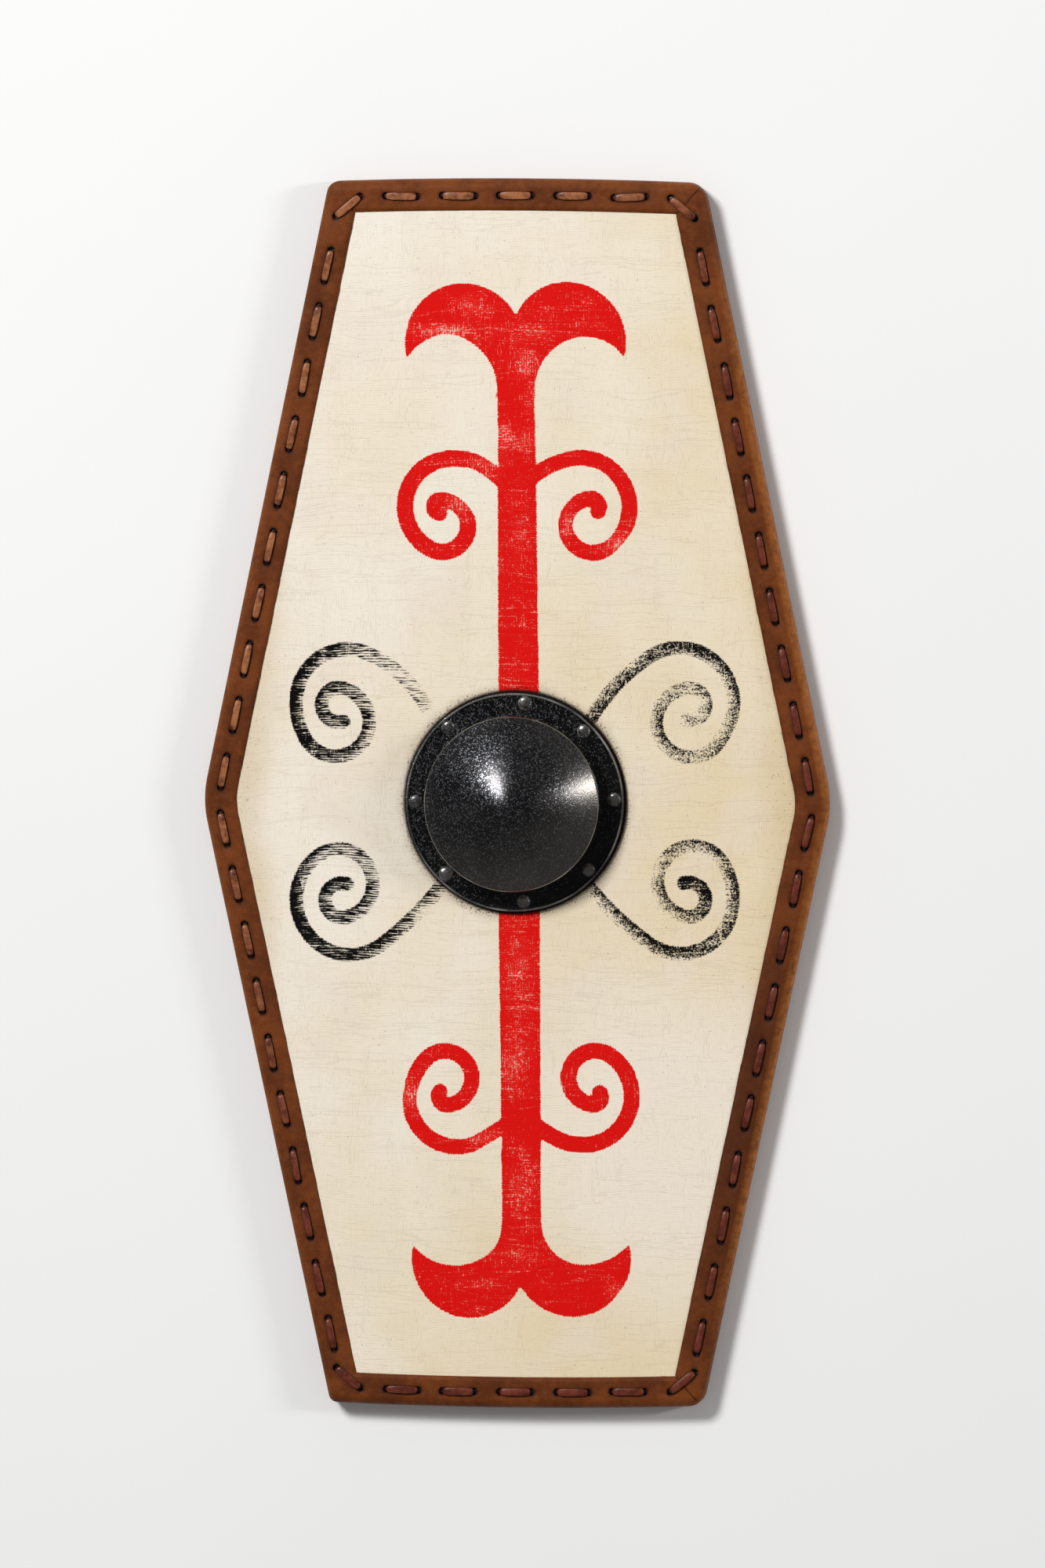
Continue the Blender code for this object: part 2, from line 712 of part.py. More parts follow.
def make_hand_hole():
    bm = bmesh.new()
    place = Matrix.Translation((0.0, BOSS_Y, 0.0))
    add_cylinder(bm, HAND_HOLE_RADIUS, -BOARD_THICKNESS, 2 * RIM_FRONT, HOLE_SIDES, place)
    return make_cutter("hand_hole", bm)


def make_grip_seat():
    """The housing across the hand hole that the grip's ends lie in."""
    bm = bmesh.new()
    depth = GRIP_END_THICKNESS + GAP
    size = (GRIP_LENGTH + 2 * GAP, GRIP_END_WIDTH + 2 * GAP, 2 * depth)
    add_box(bm, size, Matrix.Translation((0.0, BOSS_Y, BOARD_BACK)))
    return make_cutter("grip_seat", bm)


def main():
    clear_scene()
    hand_hole = make_hand_hole()
    make_board(hand_hole, make_grip_seat())
    make_facing(hand_hole)
    leather = make_material("brown oiled leather", (0.11, 0.035, 0.012), 0.6)
    thong = make_material("red-brown thong", (0.13, 0.035, 0.02), 0.45)
    lace_holes = make_lace_holes()
    for side in STRIPS:
        make_rim(side, lace_holes, leather)
        make_lace(side, thong)
    make_boss()
    make_rivets()
    make_grip(make_nail_holes())
    make_wrap()
    make_nails()


main()
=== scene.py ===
"""Germanic six-sided shield: painted linen face, laced leather edge, riveted boss, wrapped grip.

It lies on its back on a pale floor and is seen from above. Lengths are metres unless a name says _MM.
"""

import math
from collections import namedtuple
from functools import partial

import bmesh
import bpy
import numpy as np
from mathutils import Matrix, Vector, noise


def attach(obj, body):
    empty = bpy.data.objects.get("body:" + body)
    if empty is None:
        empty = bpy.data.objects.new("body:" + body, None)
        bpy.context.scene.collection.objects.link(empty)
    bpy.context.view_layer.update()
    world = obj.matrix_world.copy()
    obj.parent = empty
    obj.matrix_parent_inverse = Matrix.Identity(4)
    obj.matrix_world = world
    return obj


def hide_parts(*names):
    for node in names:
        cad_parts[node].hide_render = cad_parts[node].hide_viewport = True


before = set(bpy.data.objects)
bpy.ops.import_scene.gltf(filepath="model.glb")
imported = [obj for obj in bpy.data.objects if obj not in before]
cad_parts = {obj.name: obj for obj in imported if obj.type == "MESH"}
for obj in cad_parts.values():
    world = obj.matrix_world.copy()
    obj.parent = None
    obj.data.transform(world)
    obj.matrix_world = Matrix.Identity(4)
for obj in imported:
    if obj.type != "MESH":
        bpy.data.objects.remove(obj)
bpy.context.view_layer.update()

# Outline over the leather
SIDE_CORNER_SPAN = 0.514
TOP_WIDTH = 0.306
BOTTOM_WIDTH = 0.305
WIDEST_Y = -0.006
END_BOW = 0.003
END_Y = 0.500 - END_BOW
SIDE_CORNER_RADIUS = 0.090
TOP_RIGHT_RADIUS = 0.016
TOP_LEFT_RADIUS = 0.010
BOTTOM_LEFT_RADIUS = 0.007
BOTTOM_RIGHT_RADIUS = 0.014

# Layers, from the back forward
LEATHER_THICKNESS = 0.0022
GAP = 0.0003
BOARD_BACK = LEATHER_THICKNESS + GAP
BOARD_THICKNESS = 0.018
FACING_BACK = BOARD_BACK + BOARD_THICKNESS + GAP
FACING_FRONT = FACING_BACK + 0.0012
FLANGE_BACK = FACING_FRONT + GAP
RIM_FRONT = FLANGE_BACK + LEATHER_THICKNESS

# Leather edge and its lacing
SIDE_RIM_WIDTH = 0.0268
END_RIM_WIDTH = 0.0254
RIM_EDGE_RADIUS = 0.008
FACING_TUCK = 0.0075
STITCH_LENGTH = 0.0246
SIDE_PITCH = 0.0468
END_PITCH = 0.0466
STITCHES_PER_SIDE_EDGE = 10
STITCHES_PER_END = 5
LACE_INSET = 0.0132
CORNER_STITCH_INSET = 0.0200
SIDE_THONG_WIDTH = 0.0053
END_THONG_WIDTH = 0.0059
THONG_THICKNESS = 0.0015
THONG_RUN_HEIGHT = 0.0214
HOLE_RADIUS = 0.0030

# Boss
BOSS_Y = WIDEST_Y
LIP_RADIUS = 0.0893
LIP_HEIGHT = 0.0010
PLATE_THICKNESS = 0.0048
NECK_RADIUS = 0.0672
DOME_RADIUS = 0.0714
DOME_EDGE_HEIGHT = 0.0290
DOME_EDGE_THICKNESS = 0.0026
DOME_RISE = 0.0340
DOME_FULLNESS = 1.5
BOSS_WALL = 0.0042
RIVET_CIRCLE_RADIUS = 0.0812
RIVET_ANGLES_DEG = (2, 46, 84, 132, 180, 226, 275, 318)
RIVET_RADIUS = 0.0056
RIVET_HEIGHT = 0.0022

# Grip
HAND_HOLE_RADIUS = 0.058
GRIP_LENGTH = 0.184
GRIP_END_WIDTH = 0.031
GRIP_END_THICKNESS = 0.012
GRIP_WAIST_WIDTH = 0.026
GRIP_WAIST_HEIGHT = 0.0195
GRIP_SHOULDER_LENGTH = 0.014
WRAP_LENGTH = 0.072
WRAP_THICKNESS = 0.002
WRAP_TURN = 0.011
NAIL_X = 0.074
NAIL_RADIUS = 0.0045
NAIL_HEIGHT = 0.0014

# Outline corners, counter-clockwise from the widest point on the right
RIGHT, TOP_RIGHT, TOP_LEFT, LEFT, BOTTOM_LEFT, BOTTOM_RIGHT = range(6)
CORNERS = [(np.array(place), radius) for place, radius in (
    ((SIDE_CORNER_SPAN / 2, WIDEST_Y), SIDE_CORNER_RADIUS),
    ((TOP_WIDTH / 2, END_Y), TOP_RIGHT_RADIUS),
    ((-TOP_WIDTH / 2, END_Y), TOP_LEFT_RADIUS),
    ((-SIDE_CORNER_SPAN / 2, WIDEST_Y), SIDE_CORNER_RADIUS),
    ((-BOTTOM_WIDTH / 2, -END_Y), BOTTOM_LEFT_RADIUS),
    ((BOTTOM_WIDTH / 2, -END_Y), BOTTOM_RIGHT_RADIUS),
)]
STRIPS = {
    "right": (BOTTOM_RIGHT, TOP_RIGHT),
    "top": (TOP_RIGHT, TOP_LEFT),
    "left": (TOP_LEFT, BOTTOM_LEFT),
    "bottom": (BOTTOM_LEFT, BOTTOM_RIGHT),
}

# A painted line: where it starts, in millimetres from the shield's middle, its heading in degrees,
# and the arcs that it runs through, each a radius in millimetres and a turn in degrees, left positive
Line = namedtuple("Line", "start heading arcs")

RED_SCROLLS = (
    (6.9, Line((-9, 254), 138, ((164, 5), (49, 48), (39, 141), (21, 214), (5, 167)))),
    (6.6, Line((10, 256), 38, ((97, -21), (40, -42), (40, -121), (22, -207), (7, -123)))),
    (6.5, Line((-3, -266), -146, ((310, -6), (38, -124), (52, -34), (22, -224), (7, -129)))),
    (6.7, Line((12, -266), -38, ((136, 11), (44, 43), (40, 129), (22, 210), (6, 130)))),
)
BLACK_SCROLL_HALF_WIDTH_MM = 5.8
# With each black scroll go how much ink the brush still held, at even steps from its start, and the
# side that it was pressed to
BLACK_SCROLLS = (
    ((0.14, 0.28, 0.70, 0.84, 0.88, 0.50, 0.58, 0.74), (-0.8, 0.6),
     Line((-73, 71), 120, ((103, 36), (42, 103), (56, 42), (28, 227), (14, 209)))),
    ((0.50, 0.48, 0.58, 0.46, 0.38, 0.40, 0.38, 0.30), (0.9, 0.3),
     Line((62, 63), 59, ((159, -25), (44, -151), (186, -4), (28, -237), (13, -196)))),
    ((0.45, 0.50, 0.84, 0.92, 0.62, 0.50, 0.66, 0.74), (-0.8, 0.5),
     Line((-58, -71), -127, ((264, -16), (43, -77), (45, -103), (28, -206), (14, -210)))),
    ((0.36, 0.46, 0.62, 0.46, 0.44, 0.34, 0.42, 0.92), (0.7, 0.6),
     Line((57, -71), -51, ((260, 16), (43, 115), (55, 41), (29, 225), (14, 211)))),
)
TOP_CRESCENTS = (
    Line((-89, 355), 104, ((49, -38), (48, -127))),
    Line((1, 391), 65, ((45, -73), (49, -97))),
    Line((89, 355), 123, ((38, 84), (43, 68), (118, 2))),
    Line((-16, 322), 83, ((118, 2), (43, 68), (38, 84))),
)
BOTTOM_CRESCENTS = (
    Line((-84, -368), -102, ((49, 72), (46, 93))),
    Line((5, -402), -58, ((49, 57), (48, 104))),
    Line((92, -366), -132, ((50, -43), (35, -93), (373, -3))),
    Line((-11, -330), -90, ((436, -3), (29, -44), (43, -94))),
)
POST_MM = ((-15, 330), (-14, 92), (-14, -100), (-11, -350),
           (21, -350), (20, -100), (19, 92), (16, 330))

# Places where the red is thin: middle, reach across and up, in millimetres, and how thin
THIN_RED_MM = (
    (-56, 376, 28, 6, 0.75), (-38, 396, 16, 9, 0.50), (14, 376, 20, 8, 0.45), (30, 388, 12, 9, 0.25),
    (58, 402, 14, 8, 0.15), (8, 350, 11, 14, 0.50), (12, 325, 7, 24, 0.35), (-9, 292, 8, 12, 0.55),
    (8, 288, 10, 12, 0.45), (-26, 268, 18, 7, 0.45), (48, 262, 26, 5, 0.40), (-45, 236, 13, 12, 0.50),
    (86, 204, 13, 12, 0.50), (44, 224, 8, 14, 0.45), (2, 205, 11, 45, 0.22), (2, -140, 12, 34, 0.28),
    (0, -215, 14, 24, 0.45), (6, -318, 14, 30, 0.38), (3, -376, 26, 7, 0.35), (-34, -398, 22, 5, 0.35),
    (22, -398, 10, 5, 0.30), (82, -405, 9, 10, 0.40), (-86, -245, 9, 14, 0.55), (-25, -280, 18, 8, 0.45),
)


# Finishes

# Settings that many shader nodes share
COLOURS = {"data_type": "RGBA", "output": 2}
NUMBERS = {"data_type": "FLOAT"}
SMOOTH = {"interpolation_type": "SMOOTHSTEP"}


def linear(hex_colour):
    """A screen colour as linear red, green and blue, with full alpha."""
    screen = [int(hex_colour[i:i + 2], 16) / 255 for i in (1, 3, 5)]
    return (*[c / 12.92 if c <= 0.04045 else ((c + 0.055) / 1.055) ** 2.4 for c in screen], 1.0)


def cell(size_mm):
    """Scale at which a pattern's cells have this size."""
    return 1000 / size_mm


def cells(*sizes_mm):
    """Scale at which a pattern's cells have these sizes along X, Y and Z."""
    return tuple(cell(size_mm) for size_mm in sizes_mm)


def add(tree, kind, inputs=(), output=0, **settings):
    """Adds one shader node with its settings, fills or links its inputs and returns one output.

    The inputs go by name or number, or stand as a row in the node's own order. For a range that is
    its value, the two ends that the value comes from and the two that it goes to.
    """
    node = tree.nodes.new("ShaderNode" + kind)
    for setting, value in settings.items():
        setattr(node, setting, value)
    for key, value in inputs.items() if isinstance(inputs, dict) else enumerate(inputs):
        if isinstance(value, bpy.types.NodeSocket):
            tree.links.new(value, node.inputs[key])
        else:
            node.inputs[key].default_value = value
    return node.outputs[output] if node.outputs else None


def new_material(name):
    """A material without nodes, what adds nodes to it, and each point's place on its piece."""
    material = bpy.data.materials.new(name)
    material.use_nodes = True
    material.node_tree.nodes.clear()
    node = partial(add, material.node_tree)
    return material, node, node("TexCoord", output="Object")


def finished(material, node, shader):
    """The material, once this shader is its surface."""
    node("OutputMaterial", {"Surface": shader})
    return material


# What the cloth gives the paints: its sides and heights, its threads, and where they stand high or slack
Cloth = namedtuple("Cloth", "across upward off_middle weft patch nap weave high dots slack")


def woven(node, place):
    """Plain weave. Threads are 0.7 mm apart, too fine to show, so they are drawn 2 mm apart."""
    across, upward = [node("SeparateXYZ", {"Vector": place}, output=axis) for axis in "XY"]
    off_middle = node("Math", (upward,), operation="ABSOLUTE")
    sway = node("TexNoise", {"Vector": place, "Scale": cell(83), "Detail": 1.0}, output="Color")
    swayed = node("VectorMath", (sway, (0.010, 0.014, 0.0), place), operation="MULTIPLY_ADD")
    threads = []
    for slub_mm, way in (((8, 1.3, 50), "Y"), ((1.3, 6, 50), "X")):
        slubs = node("Mapping", {"Vector": swayed, "Scale": cells(*slub_mm)})
        slubs = node("TexNoise", {"Vector": slubs, "Scale": 1.0, "Detail": 1.0, "Roughness": 0.6})
        # A wave's length is pi / 10 over its scale
        rib = node("TexWave", {"Vector": swayed, "Scale": math.pi / 10 * cell(2)}, output="Fac",
                   bands_direction=way)
        threads.append(node("Math", (rib, 0.25, slubs), operation="MULTIPLY_ADD"))
    weft, warp = threads
    patch = node("TexNoise", {"Vector": place, "Scale": cell(21), "Detail": 2.0})
    lean = node("MapRange", (patch, 0.40, 0.60, 0.15, 0.85), **SMOOTH)
    threads = node("Mix", {0: lean, 2: weft, 3: warp}, **NUMBERS)
    nap = node("TexNoise", {"Vector": place, "Scale": cell(0.77), "Detail": 1.0, "Roughness": 0.6})
    weave = node("Mix", {0: 0.25, 2: threads, 3: nap}, **NUMBERS)
    high = node("MapRange", (weave, 0.46, 0.73))
    dots = node("TexNoise", {"Vector": place, "Scale": cell(1.32), "Detail": 1.0})
    dots = node("MapRange", (dots, 0.30, 0.70))
    # Single slack threads that neither brush nor grime passes over evenly
    slack = []
    for thread_mm, level, width in (((120, 9, 50), 0.57, 0.012), ((9, 60, 50), 0.60, 0.009)):
        drawn = node("Mapping", {"Vector": swayed, "Scale": cells(*thread_mm)})
        drawn = node("TexNoise", {"Vector": drawn, "Scale": 1.0, "Detail": 2.0})
        slack.append(node("Math", (drawn, level, width), operation="COMPARE"))
    slack = node("Math", slack, operation="MAXIMUM")
    slack = node("Math", (slack, nap), operation="MULTIPLY")
    return Cloth(across, upward, off_middle, weft, patch, nap, weave, high, dots, slack)


def cream_ground(node, place, cloth):
    """Cream paint, palest at the top left, yellower to the right and below, dull beside the leather."""
    cloud = node("TexNoise", {"Vector": place, "Scale": cell(110), "Detail": 3.0})
    # Yellower and darker towards the right and below, palest at the top left
    yellower_low_right = 0.12
    for part, weight in ((cloth.across, 1.0), (cloth.upward, -0.28), (cloud, 0.9)):
        yellower_low_right = node("Math", (part, weight, yellower_low_right), operation="MULTIPLY_ADD")
    yellower_low_right = node("MapRange", (yellower_low_right, 0.10, 1.0), **SMOOTH)
    blush = node("TexNoise", {"Vector": place, "Scale": cell(59), "Detail": 2.0})
    blush = node("MapRange", (blush, 0.50, 0.72, 0.0, 0.5), **SMOOTH)
    scrubbed = node("VectorMath", (place, (0.13, -0.28, 0.022)), output=1, operation="DISTANCE")
    scrubbed = node("MapRange", (scrubbed, 0.19, 0.05, 0.0, 0.8), **SMOOTH)
    dull = node("Attribute", output="Fac", attribute_name="from_leather_mm")
    for part, weight in ((cloth.off_middle, 120.0), (cloud, -36.0)):
        dull = node("Math", (part, weight, dull), operation="MULTIPLY_ADD")
    dull = node("MapRange", (dull, 16.0, -16.0, 0.0, 0.42), **SMOOTH)
    low = node("MapRange", (cloth.high, 0.45, 0.0, 0.0, 0.12))
    grimy = node("MapRange", (cloth.patch, 0.36, 0.60, 0.0, 0.18), **SMOOTH)
    grimy = node("Math", (grimy, cloth.slack), operation="MULTIPLY")
    speck = node("TexNoise", {"Vector": place, "Scale": cell(2.4), "Detail": 1.0})
    speck = node("Math", (dull, 0.16, speck), operation="MULTIPLY_ADD")
    speck = node("MapRange", (speck, 0.73, 0.79, 0.0, 0.4))
    colour = linear("#F4ECDF")
    for share, coat in ((yellower_low_right, "#E8D5B0"), (blush, "#EBDDCE"), (scrubbed, "#F3E8DA"), (dull, "#C9B084"),
                        (low, "#B09A74"), (grimy, "#A58E6C"), (speck, "#7A6346")):
        colour = node("Mix", {0: share, 6: colour, 7: linear(coat)}, **COLOURS)
    return colour


def boss_soot_and_shadow(node, place, cloth):
    """Shares of overspray round the boss: brown haze, soot specks thickening towards it, soot and painted
    shadow at its rim.
    """
    boss_mm = node("Attribute", output="Fac", attribute_name="from_boss_mm")
    drift = node("TexNoise", {"Vector": place, "Scale": cell(45), "Detail": 1.0})
    drift = node("Math", (drift, 12.0, boss_mm), operation="MULTIPLY_ADD")
    near = node("MapRange", (drift, 17.0, 5.0), **SMOOTH)
    haze = node("Math", (near, 0.42), operation="MULTIPLY")
    specks = node("Math", (near, 0.72, cloth.dots), operation="MULTIPLY_ADD")
    specks = node("MapRange", (specks, 0.92, 1.60, 0.0, 0.85), **SMOOTH)
    # A dark ring hard against the flange, ragged with the cloth: soot, and a painted contact shadow
    ring = node("Math", (cloth.nap, -2.0, boss_mm), operation="MULTIPLY_ADD")
    ring = node("MapRange", (ring, 3.2, -0.2), **SMOOTH)
    return haze, node("Math", (specks, ring), operation="MAXIMUM")


def red_brushed(node, cloth, streak):
    """Share and colour of the red: a firm edge, and ground that shows where the brush ran thin."""
    edge = node("Attribute", output="Fac", attribute_name="red_mm")
    thin = node("Attribute", output="Fac", attribute_name="red_thin")
    load = 1.36
    for part, weight in ((cloth.off_middle, 0.2), (streak, -0.55), (thin, -0.75), (cloth.slack, -0.45)):
        load = node("Math", (part, weight, load), operation="MULTIPLY_ADD")
    for part, weight in ((cloth.high, 0.9), (thin, -2.5)):
        edge = node("Math", (part, weight, edge), operation="MULTIPLY_ADD")
    edge = node("MapRange", (edge, 0.10, 0.90), **SMOOTH)
    tooth = node("Mix", {0: 0.55, 2: cloth.high, 3: cloth.dots}, **NUMBERS)
    cover = node("Math", (tooth, load), operation="ADD")
    cover = node("MapRange", (cover, 0.50, 1.36, 0.05), **SMOOTH)
    share = node("Math", (edge, cover), operation="MULTIPLY")
    depth = node("MapRange", (load, 0.45, 1.15), **SMOOTH)
    return share, node("Mix", {0: depth, 6: linear("#EC2A22"), 7: linear("#DC0F0B")}, **COLOURS)


def black_brushed(node, cloth, streak):
    """Share of the black, from a nearly dry brush that prints only the high threads.

    It was dragged on at the left and dabbed on at the right, so weft threads give way to dots.
    """
    combed = node("MapRange", (cloth.weft, 0.48, 0.80))
    dabbed = node("MapRange", (cloth.across, -0.06, 0.06, 0.25, 0.88))
    dotted = node("MapRange", (cloth.dots, 0.0, 1.0, 0.16, 0.84))
    comb = node("Mix", {0: dabbed, 2: combed, 3: dotted}, **NUMBERS)
    ink = node("Attribute", output="Fac", attribute_name="black_ink")
    press = node("Math", (streak, 0.55, -0.145), operation="MULTIPLY_ADD")
    press = node("Math", (press, ink), operation="ADD")
    press = node("Math", (cloth.slack, -0.5, press), operation="MULTIPLY_ADD")
    printed = node("Math", (press, comb), operation="ADD")
    printed = node("MapRange", (printed, 0.72, 1.26), **SMOOTH)
    edge = node("Attribute", output="Fac", attribute_name="black_mm")
    edge = node("Math", (cloth.high, 1.1, edge), operation="MULTIPLY_ADD")
    edge = node("MapRange", (edge, 0.2, 1.4), **SMOOTH)
    return node("Math", (printed, edge), operation="MULTIPLY")


def brushed_linen():
    """Plain-weave linen, primed and brushed with matt cream paint, then dry-brushed red and black.

    The eye sees flat chalky cloth with thread lines both ways, ivory grime in its low places, and
    colour that catches the high threads and skips the low ones.
    """
    material, node, place = new_material("brushed linen")
    cloth = woven(node, place)
    streak = node("Mapping", {"Vector": place, "Scale": cells(22, 9, 50)})
    streak = node("TexNoise", {"Vector": streak, "Scale": 1.0, "Detail": 3.0, "Roughness": 0.6})
    haze, soot_and_shadow = boss_soot_and_shadow(node, place, cloth)
    red_share, red = red_brushed(node, cloth, streak)
    black_share = black_brushed(node, cloth, streak)
    colour = cream_ground(node, place, cloth)
    for share, coat in ((haze, linear("#947A57")), (red_share, red), (soot_and_shadow, linear("#1A1210")),
                        (black_share, linear("#0B0808"))):
        colour = node("Mix", {0: share, 6: colour, 7: coat}, **COLOURS)
    gloss = node("MapRange", (red_share, 0.0, 1.0, 0.70, 0.55))
    relief = node("Math", (cloth.slack, 0.8, cloth.weave), operation="MULTIPLY_ADD")
    relief = node("Bump", {"Height": relief, "Distance": 0.0004, "Strength": 0.5})
    shader = node("BsdfPrincipled", {"Base Color": colour, "Roughness": gloss,
                                     "Normal": relief, "IOR": 1.15})
    return finished(material, node, shader)


def oiled_cowhide():
    """Vegetable-tanned cowhide strip, oiled and hand-rubbed.

    The eye sees warm brown with slow clouds, darkest towards the lower right, a soft sheen, fine grain,
    and paler folds, rubbed and with a painted highlight strongest on the right, and painted shade
    round its holes and stitches.
    """
    material, node, place = new_material("oiled cowhide")
    cloud = node("TexNoise", {"Vector": place, "Scale": cell(38), "Detail": 3.0, "Roughness": 0.55})
    mottle = node("TexNoise", {"Vector": place, "Scale": cell(5.9), "Detail": 3.0, "Roughness": 0.6})
    tone = node("Mix", {0: 0.35, 2: cloud, 3: mottle}, **NUMBERS)
    tanned = node("MapRange", (tone, 0.36, 0.64), **SMOOTH)
    # Darker towards the lower right
    darker_low_right = node("VectorMath", (place, (0.21, -0.26, 0.02)), output=1, operation="DISTANCE")
    darker_low_right = node("MapRange", (darker_low_right, 0.24, 0.04, 0.0, 0.6), **SMOOTH)
    # Paler folds: rubbed, and a painted highlight that is strongest on the right of the shield
    fold = node("Attribute", output="Fac", attribute_name="fold")
    rubbed = node("MapRange", (mottle, 0.30, 0.65, 0.4, 1.0))
    rubbed = node("Math", (rubbed, fold), operation="MULTIPLY")
    # Stains of seams and cut edges, and painted shade round holes and stitches
    stain = node("Attribute", output="Fac", attribute_name="stain")
    colour = linear("#5A2B0F")
    for share, coat in ((tanned, "#753C18"), (darker_low_right, "#3F1D0E"), (rubbed, "#B66C2C"), (stain, "#22100A")):
        colour = node("Mix", {0: share, 6: colour, 7: linear(coat)}, **COLOURS)
    gloss = node("MapRange", (tone, 0.35, 0.65, 0.60, 0.46))
    # Hide grain is 0.3 to 0.5 mm, too fine to show, so it is drawn at 1 mm
    grain = node("TexVoronoi", {"Vector": place, "Scale": cell(1.05)}, feature="F1")
    relief = node("Math", (mottle, 1.6, grain), operation="MULTIPLY_ADD")
    relief = node("Bump", {"Height": relief, "Distance": 0.00035, "Strength": 0.5})
    shader = node("BsdfPrincipled", {"Base Color": colour, "Roughness": gloss,
                                     "Normal": relief, "IOR": 1.2})
    return finished(material, node, shader)


def waxed_latigo():
    """Flat latigo thong, dyed red-brown and waxed.

    The eye sees smoother, redder and shinier leather than the hide under it, pale on its arches from
    wear and a painted highlight, most along the top and the left of the shield, and painted shade
    where it dips into its holes.
    """
    material, node, place = new_material("waxed latigo")
    cloud = node("TexNoise", {"Vector": place, "Scale": cell(7.7), "Detail": 3.0, "Roughness": 0.6})
    dyed = node("MapRange", (cloud, 0.35, 0.65), **SMOOTH)
    across, upward = [node("SeparateXYZ", {"Vector": place}, output=axis) for axis in "XY"]
    # Painted light: the arches are paler towards the top and the left of the shield, where the key light
    # falls
    side = node("Math", (upward, 0.5), operation="MULTIPLY")
    side = node("Math", (side, across), operation="SUBTRACT")
    side = node("MapRange", (side, 0.0, 0.22, 0.06, 1.0))
    crown = node("Attribute", output="Fac", attribute_name="crown")
    # Paler arches: wear, and a painted highlight on each crown
    worn_and_lit = node("MapRange", (cloud, 0.30, 0.62, 0.0, 0.65))
    for part in (crown, side):
        worn_and_lit = node("Math", (worn_and_lit, part), operation="MULTIPLY")
    # Painted shade where the thong dips into its holes
    sunk_shade = node("MapRange", (crown, 0.45, 0.05, 0.0, 0.9))
    colour = linear("#501E13")
    for share, coat in ((dyed, "#6C2C1E"), (worn_and_lit, "#B87A4C"), (sunk_shade, "#140906")):
        colour = node("Mix", {0: share, 6: colour, 7: linear(coat)}, **COLOURS)
    gloss = node("MapRange", (cloud, 0.30, 0.70, 0.28, 0.40))
    grain = node("TexNoise", {"Vector": place, "Scale": cell(1.1), "Detail": 2.0})
    relief = node("Bump", {"Height": grain, "Distance": 0.0002, "Strength": 0.4})
    shader = node("BsdfPrincipled", {"Base Color": colour, "Roughness": gloss,
                                     "Normal": relief, "IOR": 1.35})
    return finished(material, node, shader)


def graphite_flake():
    """Moulded foam rubber sprayed with graphite paint that carries fine metal flake.

    The eye sees near-black satin that glitters grey where the light catches it, with rubbed edges.
    """
    material, node, place = new_material("graphite flake paint")
    across, upward, height = [node("SeparateXYZ", {"Vector": place}, output=axis) for axis in "XYZ"]
    to_top_left = node("Math", (upward, across), operation="SUBTRACT")
    # Wiped with graphite wherever it stands up above the flange's lip
    lip = FLANGE_BACK + PLATE_THICKNESS + LIP_HEIGHT
    wiped = node("MapRange", (height, lip + 0.0001, lip + 0.0008))
    # Flakes are 0.1 mm, too fine to show, so they are drawn 0.9 mm wide, each lying at its own slant,
    # steeper on the flange, and thickest at the top left as painted light, where the key light falls
    grain = node("TexVoronoi", {"Vector": place, "Scale": cell(0.87)}, output="Color", feature="F1")
    pick = node("SeparateXYZ", {"Vector": grain})
    pick = node("Math", (wiped, 0.11, pick), operation="MULTIPLY_ADD")
    gathered_to_light = node("MapRange", (wiped, 0.0, 1.0, 1.1, 0.6))
    gathered_to_light = node("Math", (to_top_left, gathered_to_light), operation="MULTIPLY")
    pick = node("Math", (pick, gathered_to_light), operation="ADD")
    flake = node("MapRange", (pick, 0.82, 1.12))
    cloud = node("TexNoise", {"Vector": place, "Scale": cell(22), "Detail": 2.0})
    cloudy = node("MapRange", (cloud, 0.35, 0.65), **SMOOTH)
    sprayed = node("Mix", {0: cloudy, 6: linear("#040405"), 7: linear("#0C0B0A")}, **COLOURS)
    # Painted reflection: the graphite gets its palest metal colour along the cone's lower right and towards
    # its edge
    painted_reflection = node("Math", (to_top_left, 0.25, height), operation="MULTIPLY_ADD")
    painted_reflection = node("MapRange", (painted_reflection, 0.078, 0.040, 0.0, 0.8))
    painted_reflection = node("Math", (cloudy, 0.2, painted_reflection), operation="MULTIPLY_ADD")
    graphite = node("Mix", {0: painted_reflection, 6: linear("#2A2A2D"), 7: linear("#625E59")}, **COLOURS)
    edges = node("Attribute", output="Fac", attribute_name="rubbed")
    rubbed = node("MapRange", (cloud, 0.40, 0.60, 0.3, 0.8))
    rubbed = node("Math", (rubbed, edges), operation="MULTIPLY")
    colour = sprayed
    for share, coat in ((wiped, graphite), (flake, linear("#828489")), (rubbed, linear("#A8A6A1"))):
        colour = node("Mix", {0: share, 6: colour, 7: coat}, **COLOURS)
    metal = node("Math", (wiped, flake), operation="MAXIMUM")
    gloss = node("MapRange", (flake, 0.0, 1.0, 0.24, 0.32))
    skin = node("TexNoise", {"Vector": place, "Scale": cell(1.4), "Detail": 2.0})
    relief = node("Bump", {"Height": skin, "Distance": 0.0002, "Strength": 0.4})
    steep = node("MapRange", (wiped, 0.0, 1.0, 0.80, 0.08))
    steep = node("Math", (steep, flake), operation="MULTIPLY")
    slant = node("VectorMath", (grain, (0.5, 0.5, 0.5)), operation="SUBTRACT")
    slant = node("VectorMath", {0: slant, "Scale": steep}, operation="SCALE")
    slant = node("VectorMath", (slant, relief), operation="ADD")
    slant = node("VectorMath", (slant,), operation="NORMALIZE")
    shader = node("BsdfPrincipled", {"Base Color": colour, "Roughness": gloss,
                                     "Normal": slant, "Metallic": metal, "IOR": 1.25})
    return finished(material, node, shader)


